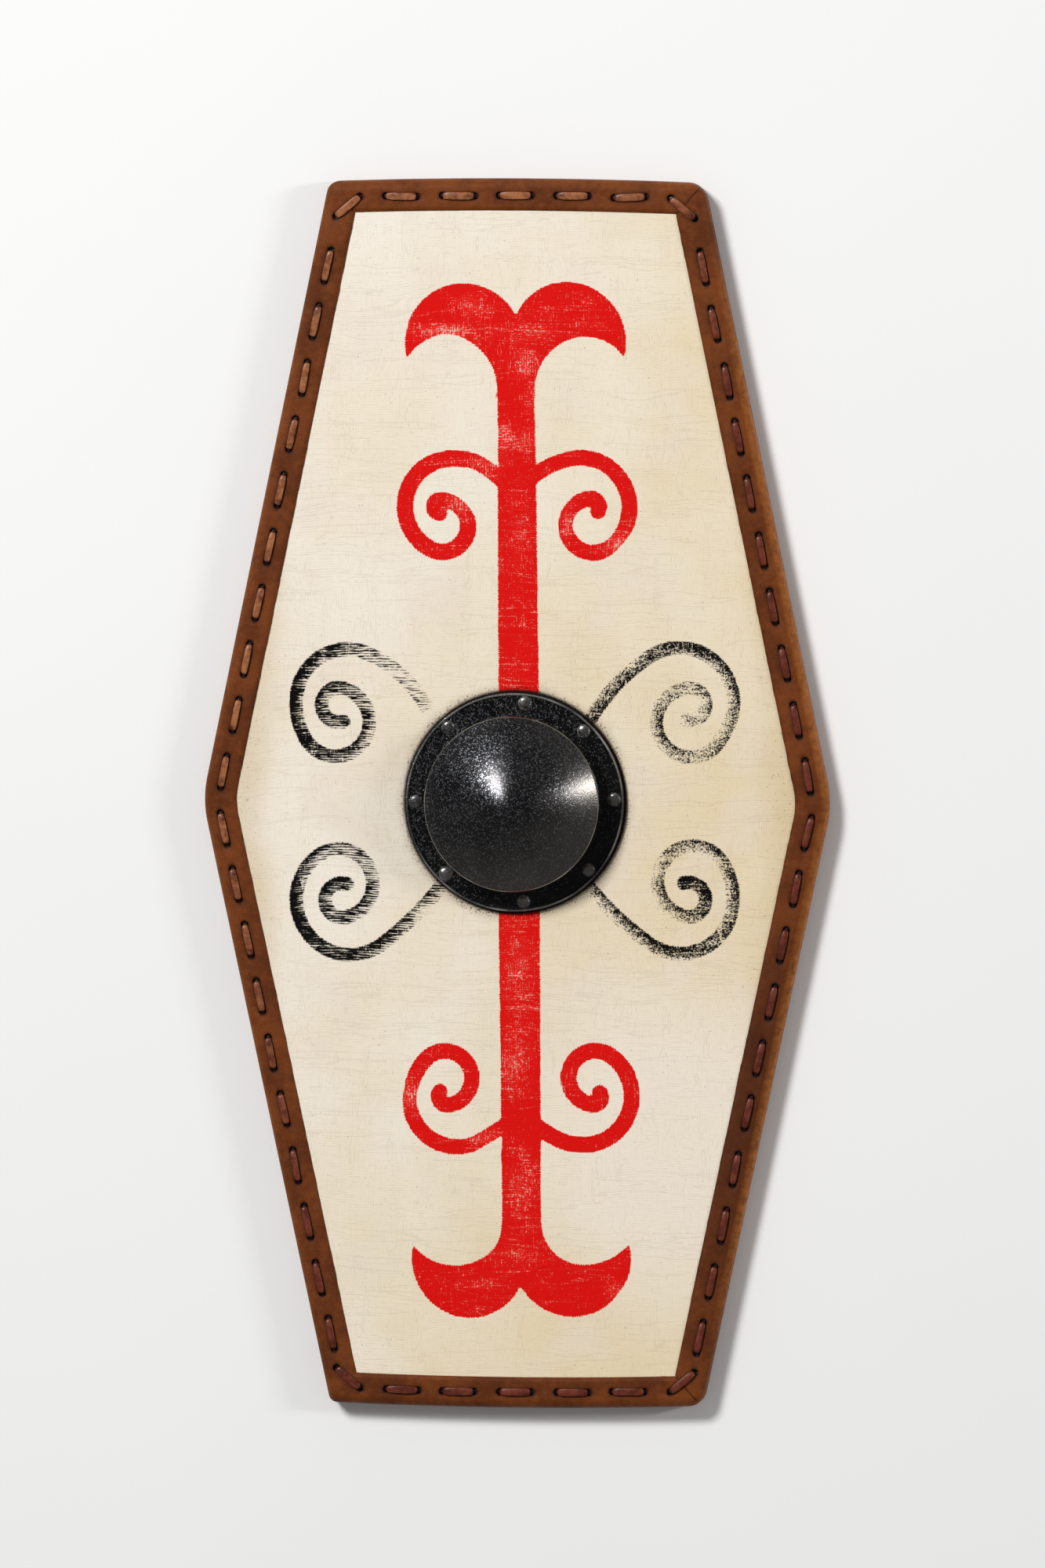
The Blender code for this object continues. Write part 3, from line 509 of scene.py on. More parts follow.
def latexed_foam():
    """Closed-cell foam board under brushed dark latex.

    The eye sees dead-matt brown-black with faint brush marks and a pebbled skin.
    """
    material, node, place = new_material("latexed foam")
    brush = node("Mapping", {"Vector": place, "Scale": cells(30, 2.2, 30)})
    brush = node("TexNoise", {"Vector": brush, "Scale": 1.0, "Detail": 3.0, "Roughness": 0.6})
    cloud = node("TexNoise", {"Vector": place, "Scale": cell(62), "Detail": 2.0})
    share = node("Mix", {0: 0.5, 2: brush, 3: cloud}, **NUMBERS)
    share = node("MapRange", (share, 0.38, 0.62), **SMOOTH)
    colour = node("Mix", {0: share, 6: linear("#231E1B"), 7: linear("#3A322C")}, **COLOURS)
    pebble = node("TexVoronoi", {"Vector": place, "Scale": cell(2.1)}, feature="F1")
    relief = node("Math", (brush, 0.8, pebble), operation="MULTIPLY_ADD")
    relief = node("Bump", {"Height": relief, "Distance": 0.0005, "Strength": 0.5})
    shader = node("BsdfPrincipled", {"Base Color": colour, "Roughness": 0.78, "Normal": relief, "IOR": 1.5})
    return finished(material, node, shader)


def oiled_ash():
    """Ash bar, planed and oiled.

    The eye sees pale brown with straight year rings and open pores along its length.
    """
    material, node, place = new_material("oiled ash")
    # Year rings are 3 mm apart; pores of 0.3 mm are drawn at 0.6 mm
    rings = node("Mapping", {"Vector": place, "Scale": cells(160, 3, 3)})
    rings = node("TexNoise", {"Vector": rings, "Scale": 1.0, "Detail": 2.0})
    ringed = node("MapRange", (rings, 0.38, 0.62), **SMOOTH)
    pores = node("Mapping", {"Vector": place, "Scale": cells(14, 0.6, 0.6)})
    pores = node("TexNoise", {"Vector": pores, "Scale": 1.0, "Detail": 2.0, "Roughness": 0.6})
    open_pores = node("MapRange", (pores, 0.58, 0.70, 0.0, 0.6))
    colour = linear("#8C633B")
    for share, coat in ((ringed, "#B98D5C"), (open_pores, "#5E3F22")):
        colour = node("Mix", {0: share, 6: colour, 7: linear(coat)}, **COLOURS)
    relief = node("Bump", {"Height": pores, "Distance": 0.0002, "Strength": 0.5})
    shader = node("BsdfPrincipled", {"Base Color": colour, "Roughness": 0.5, "Normal": relief, "IOR": 1.5})
    return finished(material, node, shader)


def handled_calf():
    """Thin calf strip, wound wet round the grip and polished by the hand.

    The eye sees dark brown that shines on the raised edge of each turn.
    """
    material, node, place = new_material("handled calf")
    cloud = node("TexNoise", {"Vector": place, "Scale": cell(11), "Detail": 3.0, "Roughness": 0.6})
    dyed = node("MapRange", (cloud, 0.35, 0.65), **SMOOTH)
    crown = node("Attribute", output="Fac", attribute_name="crown")
    colour = linear("#331A10")
    for share, coat in ((dyed, "#55301D"), (crown, "#6A3E27")):
        colour = node("Mix", {0: share, 6: colour, 7: linear(coat)}, **COLOURS)
    gloss = node("MapRange", (cloud, 0.30, 0.70, 0.38, 0.55))
    # Calf grain is 0.2 mm, too fine to show, so it is drawn at 1 mm
    grain = node("TexNoise", {"Vector": place, "Scale": cell(1), "Detail": 2.0})
    relief = node("Bump", {"Height": grain, "Distance": 0.0002, "Strength": 0.5})
    shader = node("BsdfPrincipled", {"Base Color": colour, "Roughness": gloss,
                                     "Normal": relief, "IOR": 1.48})
    return finished(material, node, shader)


def dull_steel():
    """Forged mild-steel nail heads.

    The eye sees grey metal dulled in uneven patches by handling.
    """
    material, node, place = new_material("dull mild steel")
    cloud = node("TexNoise", {"Vector": place, "Scale": cell(2.5), "Detail": 3.0, "Roughness": 0.6})
    share = node("MapRange", (cloud, 0.30, 0.70))
    colour = node("Mix", {0: share, 6: linear("#6D6A66"), 7: linear("#98948E")}, **COLOURS)
    gloss = node("MapRange", (cloud, 0.30, 0.70, 0.50, 0.34))
    relief = node("Bump", {"Height": cloud, "Distance": 0.0001, "Strength": 0.5})
    shader = node("BsdfPrincipled", {"Base Color": colour, "Roughness": gloss,
                                     "Normal": relief, "Metallic": 1.0})
    return finished(material, node, shader)


def studio_paper():
    """Matt seamless paper, so nearly white that only a soft shadow shows on it."""
    material, node, place = new_material("seamless paper")
    cloud = node("TexNoise", {"Vector": place, "Scale": cell(500), "Detail": 2.0})
    colour = node("Mix", {0: cloud, 6: linear("#F3F3F2"), 7: linear("#F7F7F6")}, **COLOURS)
    shader = node("BsdfPrincipled", {"Base Color": colour, "Roughness": 0.9, "IOR": 1.45})
    return finished(material, node, shader)


# Pieces and their meshes


def shade(mesh, sharp_deg):
    mesh.shade_smooth()
    mesh.set_sharp_from_angle(angle=math.radians(sharp_deg))


def place_in_scene(name, data):
    thing = bpy.data.objects.new(name, data)
    bpy.context.scene.collection.objects.link(thing)
    return thing


def make_piece(name, mesh, material, replaces, sharp_deg=40):
    """Makes a mesh a piece of the shield, in place of the node that it replaces."""
    shade(mesh, sharp_deg)
    mesh.materials.clear()
    mesh.materials.append(material)
    piece = place_in_scene(name, mesh)
    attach(piece, "root")
    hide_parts(replaces)
    return piece


def mesh_from(name, points, faces):
    mesh = bpy.data.meshes.new(name)
    mesh.from_pydata(np.asarray(points).tolist(), [], faces)
    return mesh


def set_numbers(mesh, **numbers):
    """Gives the mesh a number at each point, for its material to read."""
    for name, values in numbers.items():
        layer = mesh.attributes.new(name, "FLOAT", "POINT")
        layer.data.foreach_set("value", np.asarray(values, dtype=np.float32))


def points_of(mesh):
    found = np.empty(len(mesh.vertices) * 3)
    mesh.vertices.foreach_get("co", found)
    return found.reshape(-1, 3)


def grid_faces(rows, columns, around_columns=False):
    """Four-sided faces over points stored row by row, closed round where the columns go around."""
    row, column = np.meshgrid(np.arange(rows - 1), np.arange(columns - 1 + around_columns), indexing="ij")
    low, next_column = row * columns, (column + 1) % columns
    high = low + columns
    corners = (low + column, low + next_column, high + next_column, high + column)
    return np.stack(corners, axis=-1).reshape(-1, 4).tolist()


def tube_mesh(name, rings):
    """A closed skin through rings of points."""
    rings = np.asarray(rings)
    count, sides = rings.shape[:2]
    last = (count - 1) * sides
    faces = grid_faces(count, sides, around_columns=True)
    faces += [list(range(sides))[::-1], list(range(last, last + sides))]
    return weld(mesh_from(name, rings.reshape(-1, 3), faces))


def weld(mesh, reach=2e-5):
    """Joins points that lie together and turns the faces outwards."""
    bm = bmesh.new()
    bm.from_mesh(mesh)
    bmesh.ops.remove_doubles(bm, verts=bm.verts, dist=reach)
    bmesh.ops.recalc_face_normals(bm, faces=bm.faces)
    bm.to_mesh(mesh)
    bm.free()
    return mesh


def around(sides):
    return np.linspace(0.0, 2 * math.pi, sides, endpoint=False)


def squared(wave, power):
    """A sine or cosine whose round is drawn out towards a square, the more the smaller the power."""
    return math.copysign(abs(wave) ** power, wave)


def left_of(direction):
    return np.array((-direction[1], direction[0]))


def fade(distance, reach):
    """From 1 where the distance is nothing to 0 at this reach."""
    return np.clip(1.0 - distance / reach, 0, 1)


def uneven(x, y, size, seed):
    """Soft unevenness from -1 to 1, with lumps of this size."""
    return noise.noise(Vector((x / size + seed * 7.31, y / size - seed * 3.17, seed * 1.7)))


def wavy(x, y, waves):
    """Unevenness from several waves, each with its height, the size of its lumps and its seed."""
    return sum(height * uneven(x, y, size, seed) for height, size, seed in waves)


# Outline at any distance in from the edge


def edge_direction(edge):
    along = CORNERS[(edge + 1) % 6][0] - CORNERS[edge][0]
    return along / np.linalg.norm(along)


def inward(edge):
    return left_of(edge_direction(edge))


def edge_inset(edge, side_inset, end_inset):
    return end_inset if edge in (TOP_RIGHT, BOTTOM_LEFT) else side_inset


def inset_corner(corner, side_inset, end_inset):
    """The outline's corner when its edges are moved inward by these distances."""
    edges = ((corner - 1) % 6, corner)
    moves = [edge_inset(edge, side_inset, end_inset) for edge in edges]
    return CORNERS[corner][0] + np.linalg.solve(np.array([inward(edge) for edge in edges]), moves)


def across_seam(corner, side_inset=SIDE_RIM_WIDTH, end_inset=END_RIM_WIDTH):
    """Direction straight across the mitre of a corner."""
    mitre = inset_corner(corner, side_inset, end_inset) - CORNERS[corner][0]
    return left_of(mitre) / np.linalg.norm(mitre)


def corner_arc(corner, side_inset, end_inset, count):
    """Points round a corner, drawn in by these distances."""
    radius = max(CORNERS[corner][1] - max(side_inset, end_inset), 0.0)
    centre = inset_corner(corner, side_inset + radius, end_inset + radius)
    start, stop = [math.atan2(*-inward(edge)[::-1]) for edge in ((corner - 1) % 6, corner)]
    angles = np.linspace(start, stop + 2 * math.pi * (stop < start), count)
    return centre + radius * np.stack([np.cos(angles), np.sin(angles)], axis=1)


def bowed(points):
    """Points with the slight outward bow of the two ends."""
    points = np.array(points, float)
    x, y = points[..., 0], points[..., 1]
    width = np.where(y > 0, TOP_WIDTH, BOTTOM_WIDTH)
    bow = END_BOW * np.clip(1.0 - (2.0 * x / width) ** 2, 0.0, None) * (np.abs(y) > 0.8 * END_Y)
    points[..., 1] += np.copysign(bow, y)
    return points


def inset_distance(x, y, side_inset, end_inset):
    """How far inside this inset outline a place lies."""
    gaps = []
    for edge in range(6):
        start, across = inset_corner(edge, side_inset, end_inset), inward(edge)
        gaps.append((x - start[0]) * across[0] + (y - start[1]) * across[1])
    return np.min(gaps, axis=0)


# Leather edge

ARC_POINTS = 13
LEATHER_STEP = 0.0024
FLANGE_ROWS = 12
OPEN_SEAMS = (TOP_RIGHT, BOTTOM_RIGHT)
OPEN_SEAM_GAP = 0.00014
CLOSED_SEAM_GAP = 0.00002
# The skived edge in front: shares of the leather's width, and how far each lies below its front
SKIVE = ((0.93, 0.0005), (0.975, 0.0012), (1.0, 0.0019))
HIDE_WAVES = ((0.00025, 0.022, 5), (0.0001, 0.006, 8))
CUT_WAVES = ((0.0005, 0.012, 11), (0.0003, 0.0035, 12))
CUT_REACH = 0.0012
DIMPLE_DEPTH = 0.0008
DIMPLE_REACH = 0.0038
# How much less the outline faces up or down than to the side
OUTLINE_FLATNESS = 0.35
# How far the painted shade of holes and stitches and the stain of seams spread, and the rub and painted
# highlight on the fold
HOLE_SHADE_REACH = 0.0013
STITCH_SHADE_REACH = 0.0016
SEAM_STAIN_REACH = 0.0012
FOLD_RUB_HIGHLIGHT_REACH = 0.0065


def strip_line(first, last, side_inset, end_inset):
    """Points along a strip of leather, from the middle of one end corner to the middle of the other."""
    half = ARC_POINTS // 2
    stretches = [corner_arc(first, side_inset, end_inset, ARC_POINTS)[half:]]
    corner = first
    while corner != last:
        length = np.linalg.norm(CORNERS[(corner + 1) % 6][0] - CORNERS[corner][0])
        corner = (corner + 1) % 6
        arc = corner_arc(corner, side_inset, end_inset, ARC_POINTS)
        share = np.linspace(0.0, 1.0, int(length / LEATHER_STEP))[1:-1, None]
        stretches.append(stretches[-1][-1] * (1 - share) + arc[0] * share)
        stretches.append(arc[:half + 1] if corner == last else arc)
    return bowed(np.vstack(stretches))


def end_at_seam(line, corner, along):
    """Moves a line's first points along its edge until none lies beyond the corner's mitre."""
    across = across_seam(corner)
    across = across if across @ along > 0 else -across
    gap = OPEN_SEAM_GAP if corner in OPEN_SEAMS else CLOSED_SEAM_GAP
    move = gap - (line - CORNERS[corner][0]) @ across
    move[1:] = np.clip(move[1:], 0.0, None)
    return line + along * (move / (along @ across))[:, None]


def quarter_turn(centre_height, radius, start_deg, steps):
    """A quarter round of the fold as (side inset, end inset, height)."""
    turn = []
    for a in np.radians(np.linspace(start_deg, start_deg + 90, steps + 1)):
        inset = RIM_EDGE_RADIUS - radius * math.cos(a)
        turn.append((inset, inset, centre_height + radius * math.sin(a)))
    return turn


def folded_section():
    """Section of the folded strip as (side inset, end inset, height): round the outside, back inside."""
    outer, inner = RIM_EDGE_RADIUS, RIM_EDGE_RADIUS - LEATHER_THICKNESS
    upper, lower = RIM_FRONT - outer, outer

    def flat(*places):
        return [(share * SIDE_RIM_WIDTH, share * END_RIM_WIDTH, height) for share, height in places]

    return [
        *flat((1.0, 0.0005), (0.985, 0.0), (0.8, 0.0), (0.6, 0.0), (0.45, 0.0)),
        *quarter_turn(lower, outer, -90, 7),
        (0.0, 0.0, (upper + lower) / 2),
        *quarter_turn(upper, outer, 0, 9),
        *flat(*[(share, RIM_FRONT) for share in np.linspace(0.35, 0.88, FLANGE_ROWS)]),
        *flat(*[(share, RIM_FRONT - drop) for share, drop in SKIVE]),
        *flat((1.0, FLANGE_BACK + 0.0001), (0.99, FLANGE_BACK), (0.6, FLANGE_BACK)),
        *quarter_turn(upper, inner, 0, 3)[::-1],
        *quarter_turn(lower, inner, -90, 3)[::-1],
        *flat((0.99, LEATHER_THICKNESS), (1.0, LEATHER_THICKNESS - 0.0004)),
    ]


def work_leather(points):
    """Dimples the front at each hole, and makes the surface and the cut edge slightly uneven."""
    to_hole = nearest_distance(points, hole_places())
    depth = inset_distance(points[:, 0], points[:, 1], 0.0, 0.0)
    from_cut = -inset_distance(points[:, 0], points[:, 1], SIDE_RIM_WIDTH, END_RIM_WIDTH)
    for i in np.flatnonzero(points[:, 2] > FLANGE_BACK + 0.0002):
        x, y = points[i, :2]
        flat = min(1.0, max(0.3, depth[i] / RIM_EDGE_RADIUS))
        points[i, 2] += flat * wavy(x, y, HIDE_WAVES)
        points[i, 2] -= DIMPLE_DEPTH * math.exp(-(to_hole[i] / DIMPLE_REACH) ** 2)
        if from_cut[i] < CUT_REACH:
            out = np.array((x, OUTLINE_FLATNESS * y)) / math.hypot(x, OUTLINE_FLATNESS * y)
            points[i, :2] += out * wavy(x, y, CUT_WAVES)


def nearest_distance(points, places):
    return np.hypot(points[:, None, 0] - places[:, 0], points[:, None, 1] - places[:, 1]).min(axis=1)


def beside_stitches(points):
    """How far each point lies from the middle line of the nearest stitch."""
    nearest = np.full(len(points), np.inf)
    for stitch in (stitch for row in STITCHES.values() for stitch in row):
        away = points[:, :2] - stitch.centre
        beyond = np.clip(np.abs(away @ stitch.along) - stitch.length / 2, 0, None)
        nearest = np.minimum(nearest, np.hypot(beyond, away @ left_of(stitch.along)))
    return nearest


def leather_wear(mesh):
    """Rub and painted highlight on the fold, painted shade round holes and stitches, and stains of seams
    and cut edges, over one strip.
    """
    points = points_of(mesh)
    x, y, height = points.T
    # The fold's rub and painted highlight are strongest along its top, on the right and away from the two
    # ends
    fold = fade(inset_distance(x, y, 0.0, 0.0), FOLD_RUB_HIGHLIGHT_REACH) * np.clip(height / 0.012, 0.25, 1)
    fold *= np.clip(0.3 + 4 * x, 0.15, 1) * np.clip((0.47 - np.abs(y)) / 0.12, 0.15, 1)
    # Painted shade round each hole and along each stitch, where the thong and its holes shade the hide
    holes = fade(nearest_distance(points, hole_places()) - HOLE_RADIUS, HOLE_SHADE_REACH)
    pressed = fade(beside_stitches(points) - SIDE_THONG_WIDTH / 2, STITCH_SHADE_REACH)
    from_cut = -inset_distance(x, y, SIDE_RIM_WIDTH, END_RIM_WIDTH)
    stains = [0.90 * holes, 0.70 * pressed, 0.15 * fade(from_cut, CUT_REACH)]
    for corner in OPEN_SEAMS:
        away = points[:, :2] - CORNERS[corner][0]
        near = np.hypot(*away.T) < 0.05
        stains.append(0.6 * near * fade(np.abs(away @ across_seam(corner)), SEAM_STAIN_REACH))
    front = np.clip((height - FLANGE_BACK) / 0.001 + 0.5, 0, 1)
    set_numbers(mesh, fold=fold, stain=front * np.max(stains, axis=0))


def leather_strip(side, material):
    """A strip of hide folded round one side of the board, punched for its thong."""
    first, last = STRIPS[side]
    rows = []
    for side_inset, end_inset, height in folded_section():
        line = strip_line(first, last, side_inset, end_inset)
        middle = len(line) // 2
        start = end_at_seam(line[:middle], first, edge_direction(first))
        finish = end_at_seam(line[middle:][::-1], last, -edge_direction((last - 1) % 6))[::-1]
        rows.append(np.column_stack([np.vstack([start, finish]), np.full(len(line), height)]))
    rings = np.array(rows).transpose(1, 0, 2)
    points = rings.reshape(-1, 3).copy()
    work_leather(points)
    mesh = tube_mesh("leather_" + side, points.reshape(rings.shape))
    piece = make_piece("leather_" + side, mesh, material, "rim_" + side)
    punch_holes(piece, side)
    leather_wear(piece.data)


def punch_holes(piece, side):
    """Cuts the round holes of this strip right through its front."""
    bm = bmesh.new()
    for x, y in hole_places():
        if strip_at(x, y) == side:
            # Each punch is turned its own way
            place = Matrix.Translation((x, y, RIM_FRONT)) @ Matrix.Rotation(1100.0 * x, 4, "Z")
            bmesh.ops.create_cone(bm, cap_ends=True, segments=18, radius1=0.94 * HOLE_RADIUS,
                                  radius2=1.06 * HOLE_RADIUS, depth=2.6 * LEATHER_THICKNESS, matrix=place)
    punches = place_in_scene("punches", bpy.data.meshes.new("punches"))
    bm.to_mesh(punches.data)
    bm.free()
    cut = piece.modifiers.new("holes", "BOOLEAN")
    cut.operation = "DIFFERENCE"
    cut.solver = "EXACT"
    cut.object = punches
    evaluated = piece.evaluated_get(bpy.context.evaluated_depsgraph_get())
    mesh = bpy.data.meshes.new_from_object(evaluated)
    piece.modifiers.clear()
    piece.data = mesh
    shade(mesh, 40)
    bpy.data.objects.remove(punches)


def strip_at(x, y):
    """The strip of leather that a place on the edge belongs to."""
    shares = {}
    for side, edges in (("right", (BOTTOM_RIGHT, RIGHT)), ("top", (TOP_RIGHT,)),
                        ("left", (TOP_LEFT, LEFT)), ("bottom", (BOTTOM_LEFT,))):
        for edge in edges:
            width = edge_inset(edge, SIDE_RIM_WIDTH, END_RIM_WIDTH)
            share = (np.array((x, y)) - CORNERS[edge][0]) @ inward(edge) / width
            shares[side] = min(share, shares.get(side, math.inf))
    return min(shares, key=shares.get)


# Lacing

# A stitch: its middle, its direction, its length and the thong's width there
Stitch = namedtuple("Stitch", "centre along length width")
# How far stitches laced by hand stray: in slant, along and across, and as shares of length and width
STRAY_SLANT = 0.055
STRAY_ALONG = 0.001
STRAY_ACROSS = 0.0008
STRAY_LENGTH = 0.04
STRAY_WIDTH = 0.08


def side_stitches(side_corner):
    before, after = edge_direction((side_corner - 1) % 6), edge_direction(side_corner)
    corner = inset_corner(side_corner, LACE_INSET, LACE_INSET)
    steps = [SIDE_PITCH * (i + 0.5) for i in range(STITCHES_PER_SIDE_EDGE)]
    below = [(corner - before * step, before) for step in reversed(steps)]
    return below + [(corner + after * step, after) for step in steps]


def end_stitches(edge):
    """The stitches of an end, with a slanting one over the seam at each corner."""
    along = edge_direction(edge)
    centre = np.array((0.0, math.copysign(END_Y - LACE_INSET, -along[0])))
    steps = END_PITCH * (np.arange(STITCHES_PER_END) - (STITCHES_PER_END - 1) / 2)
    straight = [(bowed(centre + along * step), along) for step in steps]
    return [seam_stitch(edge), *straight, seam_stitch((edge + 1) % 6)]


def seam_stitch(corner):
    across = across_seam(corner, CORNER_STITCH_INSET, CORNER_STITCH_INSET)
    centre = inset_corner(corner, CORNER_STITCH_INSET, CORNER_STITCH_INSET)
    return centre, across if across @ edge_direction(corner) > 0 else -across


def hand_laced(stitches, width, seed):
    """Stitches a little off in place, slant, length and width, as hand lacing is."""
    laced = []
    for i, (centre, along) in enumerate(stitches):
        off = [uneven(1.37 * i, 2.9 * k, 1.0, seed + k) for k in range(5)]
        across = left_of(along)
        slanted = along + across * STRAY_SLANT * off[0]
        moved = centre + along * STRAY_ALONG * off[1] + across * STRAY_ACROSS * off[2]
        length = STITCH_LENGTH * (1 + STRAY_LENGTH * off[3])
        laced.append(Stitch(moved, slanted / np.linalg.norm(slanted), length,
                            width * (1 + STRAY_WIDTH * off[4])))
    return laced


STITCHES = {
    "right": hand_laced(side_stitches(RIGHT), SIDE_THONG_WIDTH, 1),
    "top": hand_laced(end_stitches(TOP_RIGHT), END_THONG_WIDTH, 2),
    "left": hand_laced(side_stitches(LEFT), SIDE_THONG_WIDTH, 3),
    "bottom": hand_laced(end_stitches(BOTTOM_LEFT), END_THONG_WIDTH, 4),
}
ARCH_RINGS = 29
THONG_SIDES = 16
ARCH_RISE = 0.0009
# Where an arch bends down to its hole, as a share of its half length, how far that bend still
# reaches out, how deep it dips and how much of a quarter turn the thong makes
BEND_STARTS = 0.80
BEND_REACH = 0.085
BEND_DIP = 0.0032
BEND_PITCH = 0.9
# Where its hole starts to pinch the thong, by what share of its width on each side, and its curl there
PINCH_STARTS = 0.45
PINCH = 0.16
PINCH_CURL = 0.0006
THONG_CROWN = 0.00015
THONG_LEAN = 0.0003
HOLE_CLEARANCE = 0.0004
RUN_THICKNESS = 0.001


def hole_places():
    """The middle of every punched hole."""
    return np.array([stitch.centre + stitch.along * end * (stitch.length / 2 + HOLE_CLEARANCE)
                     for row in STITCHES.values() for stitch in row for end in (-1, 1)])


def arch_ring(stitch, t, lean):
    """Section of the thong over a stitch, from one hole (t = -1) to the other (t = 1)."""
    turn = max(0.0, (abs(t) - BEND_STARTS) / (1 - BEND_STARTS)) * math.pi / 2
    reach = (1 - BEND_REACH) * min(abs(t), BEND_STARTS) / BEND_STARTS + BEND_REACH * math.sin(turn)
    along = math.copysign(reach, t) * stitch.length / 2
    height = RIM_FRONT + THONG_THICKNESS / 2 + ARCH_RISE * (1 - reach ** 3)
    height -= BEND_DIP * (1 - math.cos(turn))
    pitch = math.copysign(BEND_PITCH * turn, t)
    pinch = max(0.0, (abs(t) - PINCH_STARTS) / (1 - PINCH_STARTS)) ** 1.6
    half_width = stitch.width * (0.5 - PINCH * pinch)
    ring = []
    for a in around(THONG_SIDES):
        side = squared(math.cos(a), 0.35)
        up = squared(math.sin(a), 0.45) * THONG_THICKNESS / 2
        up += THONG_CROWN * (1 - side ** 2) + lean * side - PINCH_CURL * pinch * side ** 2
        place = stitch.centre + stitch.along * (along + up * math.sin(pitch))
        place = place + left_of(stitch.along) * side * half_width
        ring.append((*place, height + up * math.cos(pitch)))
    return ring


def run_rings(stitch, following):
    """Sections of the thong under the leather, between one stitch and the next."""
    start = stitch.centre + stitch.along * stitch.length / 2
    stop = following.centre - following.along * following.length / 2
    rings = []
    for share in (0.12, 0.5, 0.88):
        along = stitch.along * (1 - share) + following.along * share
        across = left_of(along) / np.linalg.norm(along)
        centre = start * (1 - share) + stop * share
        rings.append([(*(centre + across * math.cos(a) * stitch.width * 0.4),
                       THONG_RUN_HEIGHT + RUN_THICKNESS / 2 * math.sin(a)) for a in around(THONG_SIDES)])
    return rings


def thong(side, material):
    """One flat thong, over the leather at each stitch and under it between."""
    stitches = STITCHES[side]
    rings = []
    for i, stitch in enumerate(stitches):
        lean = THONG_LEAN * uneven(i, 3.3, 1.0, 21)
        rings += [arch_ring(stitch, t, lean) for t in np.linspace(-1.0, 1.0, ARCH_RINGS)]
        if stitch is not stitches[-1]:
            rings += run_rings(stitch, stitches[i + 1])
    mesh = tube_mesh("thong_" + side, rings)
    make_piece("thong_" + side, mesh, material, "lace_" + side, 60)
    set_numbers(mesh, crown=np.clip((points_of(mesh)[:, 2] - RIM_FRONT) / THONG_THICKNESS, 0, 1))


# Linen facing

FACING_ROWS = 440
FACING_COLUMNS = 190
PAINT_STEP_MM = 1.2
BRUSH_LIMIT_MM = 9.0
STROKE_MARGIN_MM = 20
# How much more ink the side holds that the brush was pressed to
PRESSED_INK = 0.34


def draw(line):
    """Points along a painted line."""
    x, y = line.start
    heading = math.radians(line.heading)
    points = [(x, y)]
    for radius, turn_deg in line.arcs:
        turn = math.radians(turn_deg)
        bend = math.copysign(radius, turn)
        centre_x, centre_y = x - bend * math.sin(heading), y + bend * math.cos(heading)
        steps = max(2, int(abs(turn) * radius / PAINT_STEP_MM))
        for a in heading + turn * np.arange(1, steps + 1) / steps:
            points.append((centre_x + bend * math.sin(a), centre_y - bend * math.cos(a)))
        x, y = points[-1]
        heading += turn
    return np.array(points)


def inside_shape(x, y, outline):
    """Distance inside a closed outline, negative outside it."""
    nearest = np.full(x.shape, np.inf)
    inside = np.zeros(x.shape, bool)
    for (ax, ay), (bx, by) in zip(outline, np.roll(outline, -1, axis=0)):
        dx, dy = bx - ax, by - ay
        share = np.clip(((x - ax) * dx + (y - ay) * dy) / max(dx * dx + dy * dy, 1e-9), 0, 1)
        nearest = np.minimum(nearest, np.hypot(x - ax - share * dx, y - ay - share * dy))
        if dy:
            inside ^= ((ay > y) != (by > y)) & (x < ax + (y - ay) * dx / dy)
    return np.where(inside, nearest, -nearest)


def inside_stroke(x, y, path, half_width, toward=(0, 0)):
    """Distance inside a brush stroke, how far along it from 0 to 1, and how far to its one side."""
    distance = np.full(x.shape, -BRUSH_LIMIT_MM)
    share, side = np.zeros(x.shape), np.zeros(x.shape)
    low, high = path.min(axis=0) - STROKE_MARGIN_MM, path.max(axis=0) + STROKE_MARGIN_MM
    near = (x > low[0]) & (x < high[0]) & (y > low[1]) & (y < high[1])
    gaps = np.hypot(x[near, None] - path[:, 0], y[near, None] - path[:, 1])
    nearest = gaps.argmin(axis=1)
    distance[near] = half_width - gaps[np.arange(len(nearest)), nearest]
    share[near] = nearest / (len(path) - 1)
    side[near] = (np.column_stack([x[near], y[near]]) - path[nearest]) @ toward / half_width
    return distance, share, side


def painted(x, y):
    """Distances inside the red and the black, how thin the red is and how inked the black, in mm."""
    shapes = [np.array(POST_MM, float)]
    shapes += [np.vstack([draw(line) for line in lines]) for lines in (TOP_CRESCENTS, BOTTOM_CRESCENTS)]
    red = [inside_shape(x, y, outline) for outline in shapes]
    red += [inside_stroke(x, y, draw(line), half_width)[0] for half_width, line in RED_SCROLLS]
    thin = np.zeros(x.shape)
    for centre_x, centre_y, reach_x, reach_y, amount in THIN_RED_MM:
        spread = ((x - centre_x) / reach_x) ** 2 + ((y - centre_y) / reach_y) ** 2
        thin = np.maximum(thin, amount * np.exp(-spread))
    black = np.full(x.shape, -BRUSH_LIMIT_MM)
    ink = np.zeros(x.shape)
    for loads, pressed, line in BLACK_SCROLLS:
        distance, share, side = inside_stroke(x, y, draw(line), BLACK_SCROLL_HALF_WIDTH_MM, pressed)
        held = np.interp(share, np.linspace(0, 1, len(loads)), loads)
        ink = np.where(distance > black, held + PRESSED_INK * side, ink)
        black = np.maximum(black, distance)
    limits = (-BRUSH_LIMIT_MM, BRUSH_LIMIT_MM)
    return {"red_mm": np.clip(np.max(red, axis=0), *limits), "red_thin": thin,
            "black_mm": np.clip(black, *limits), "black_ink": ink}


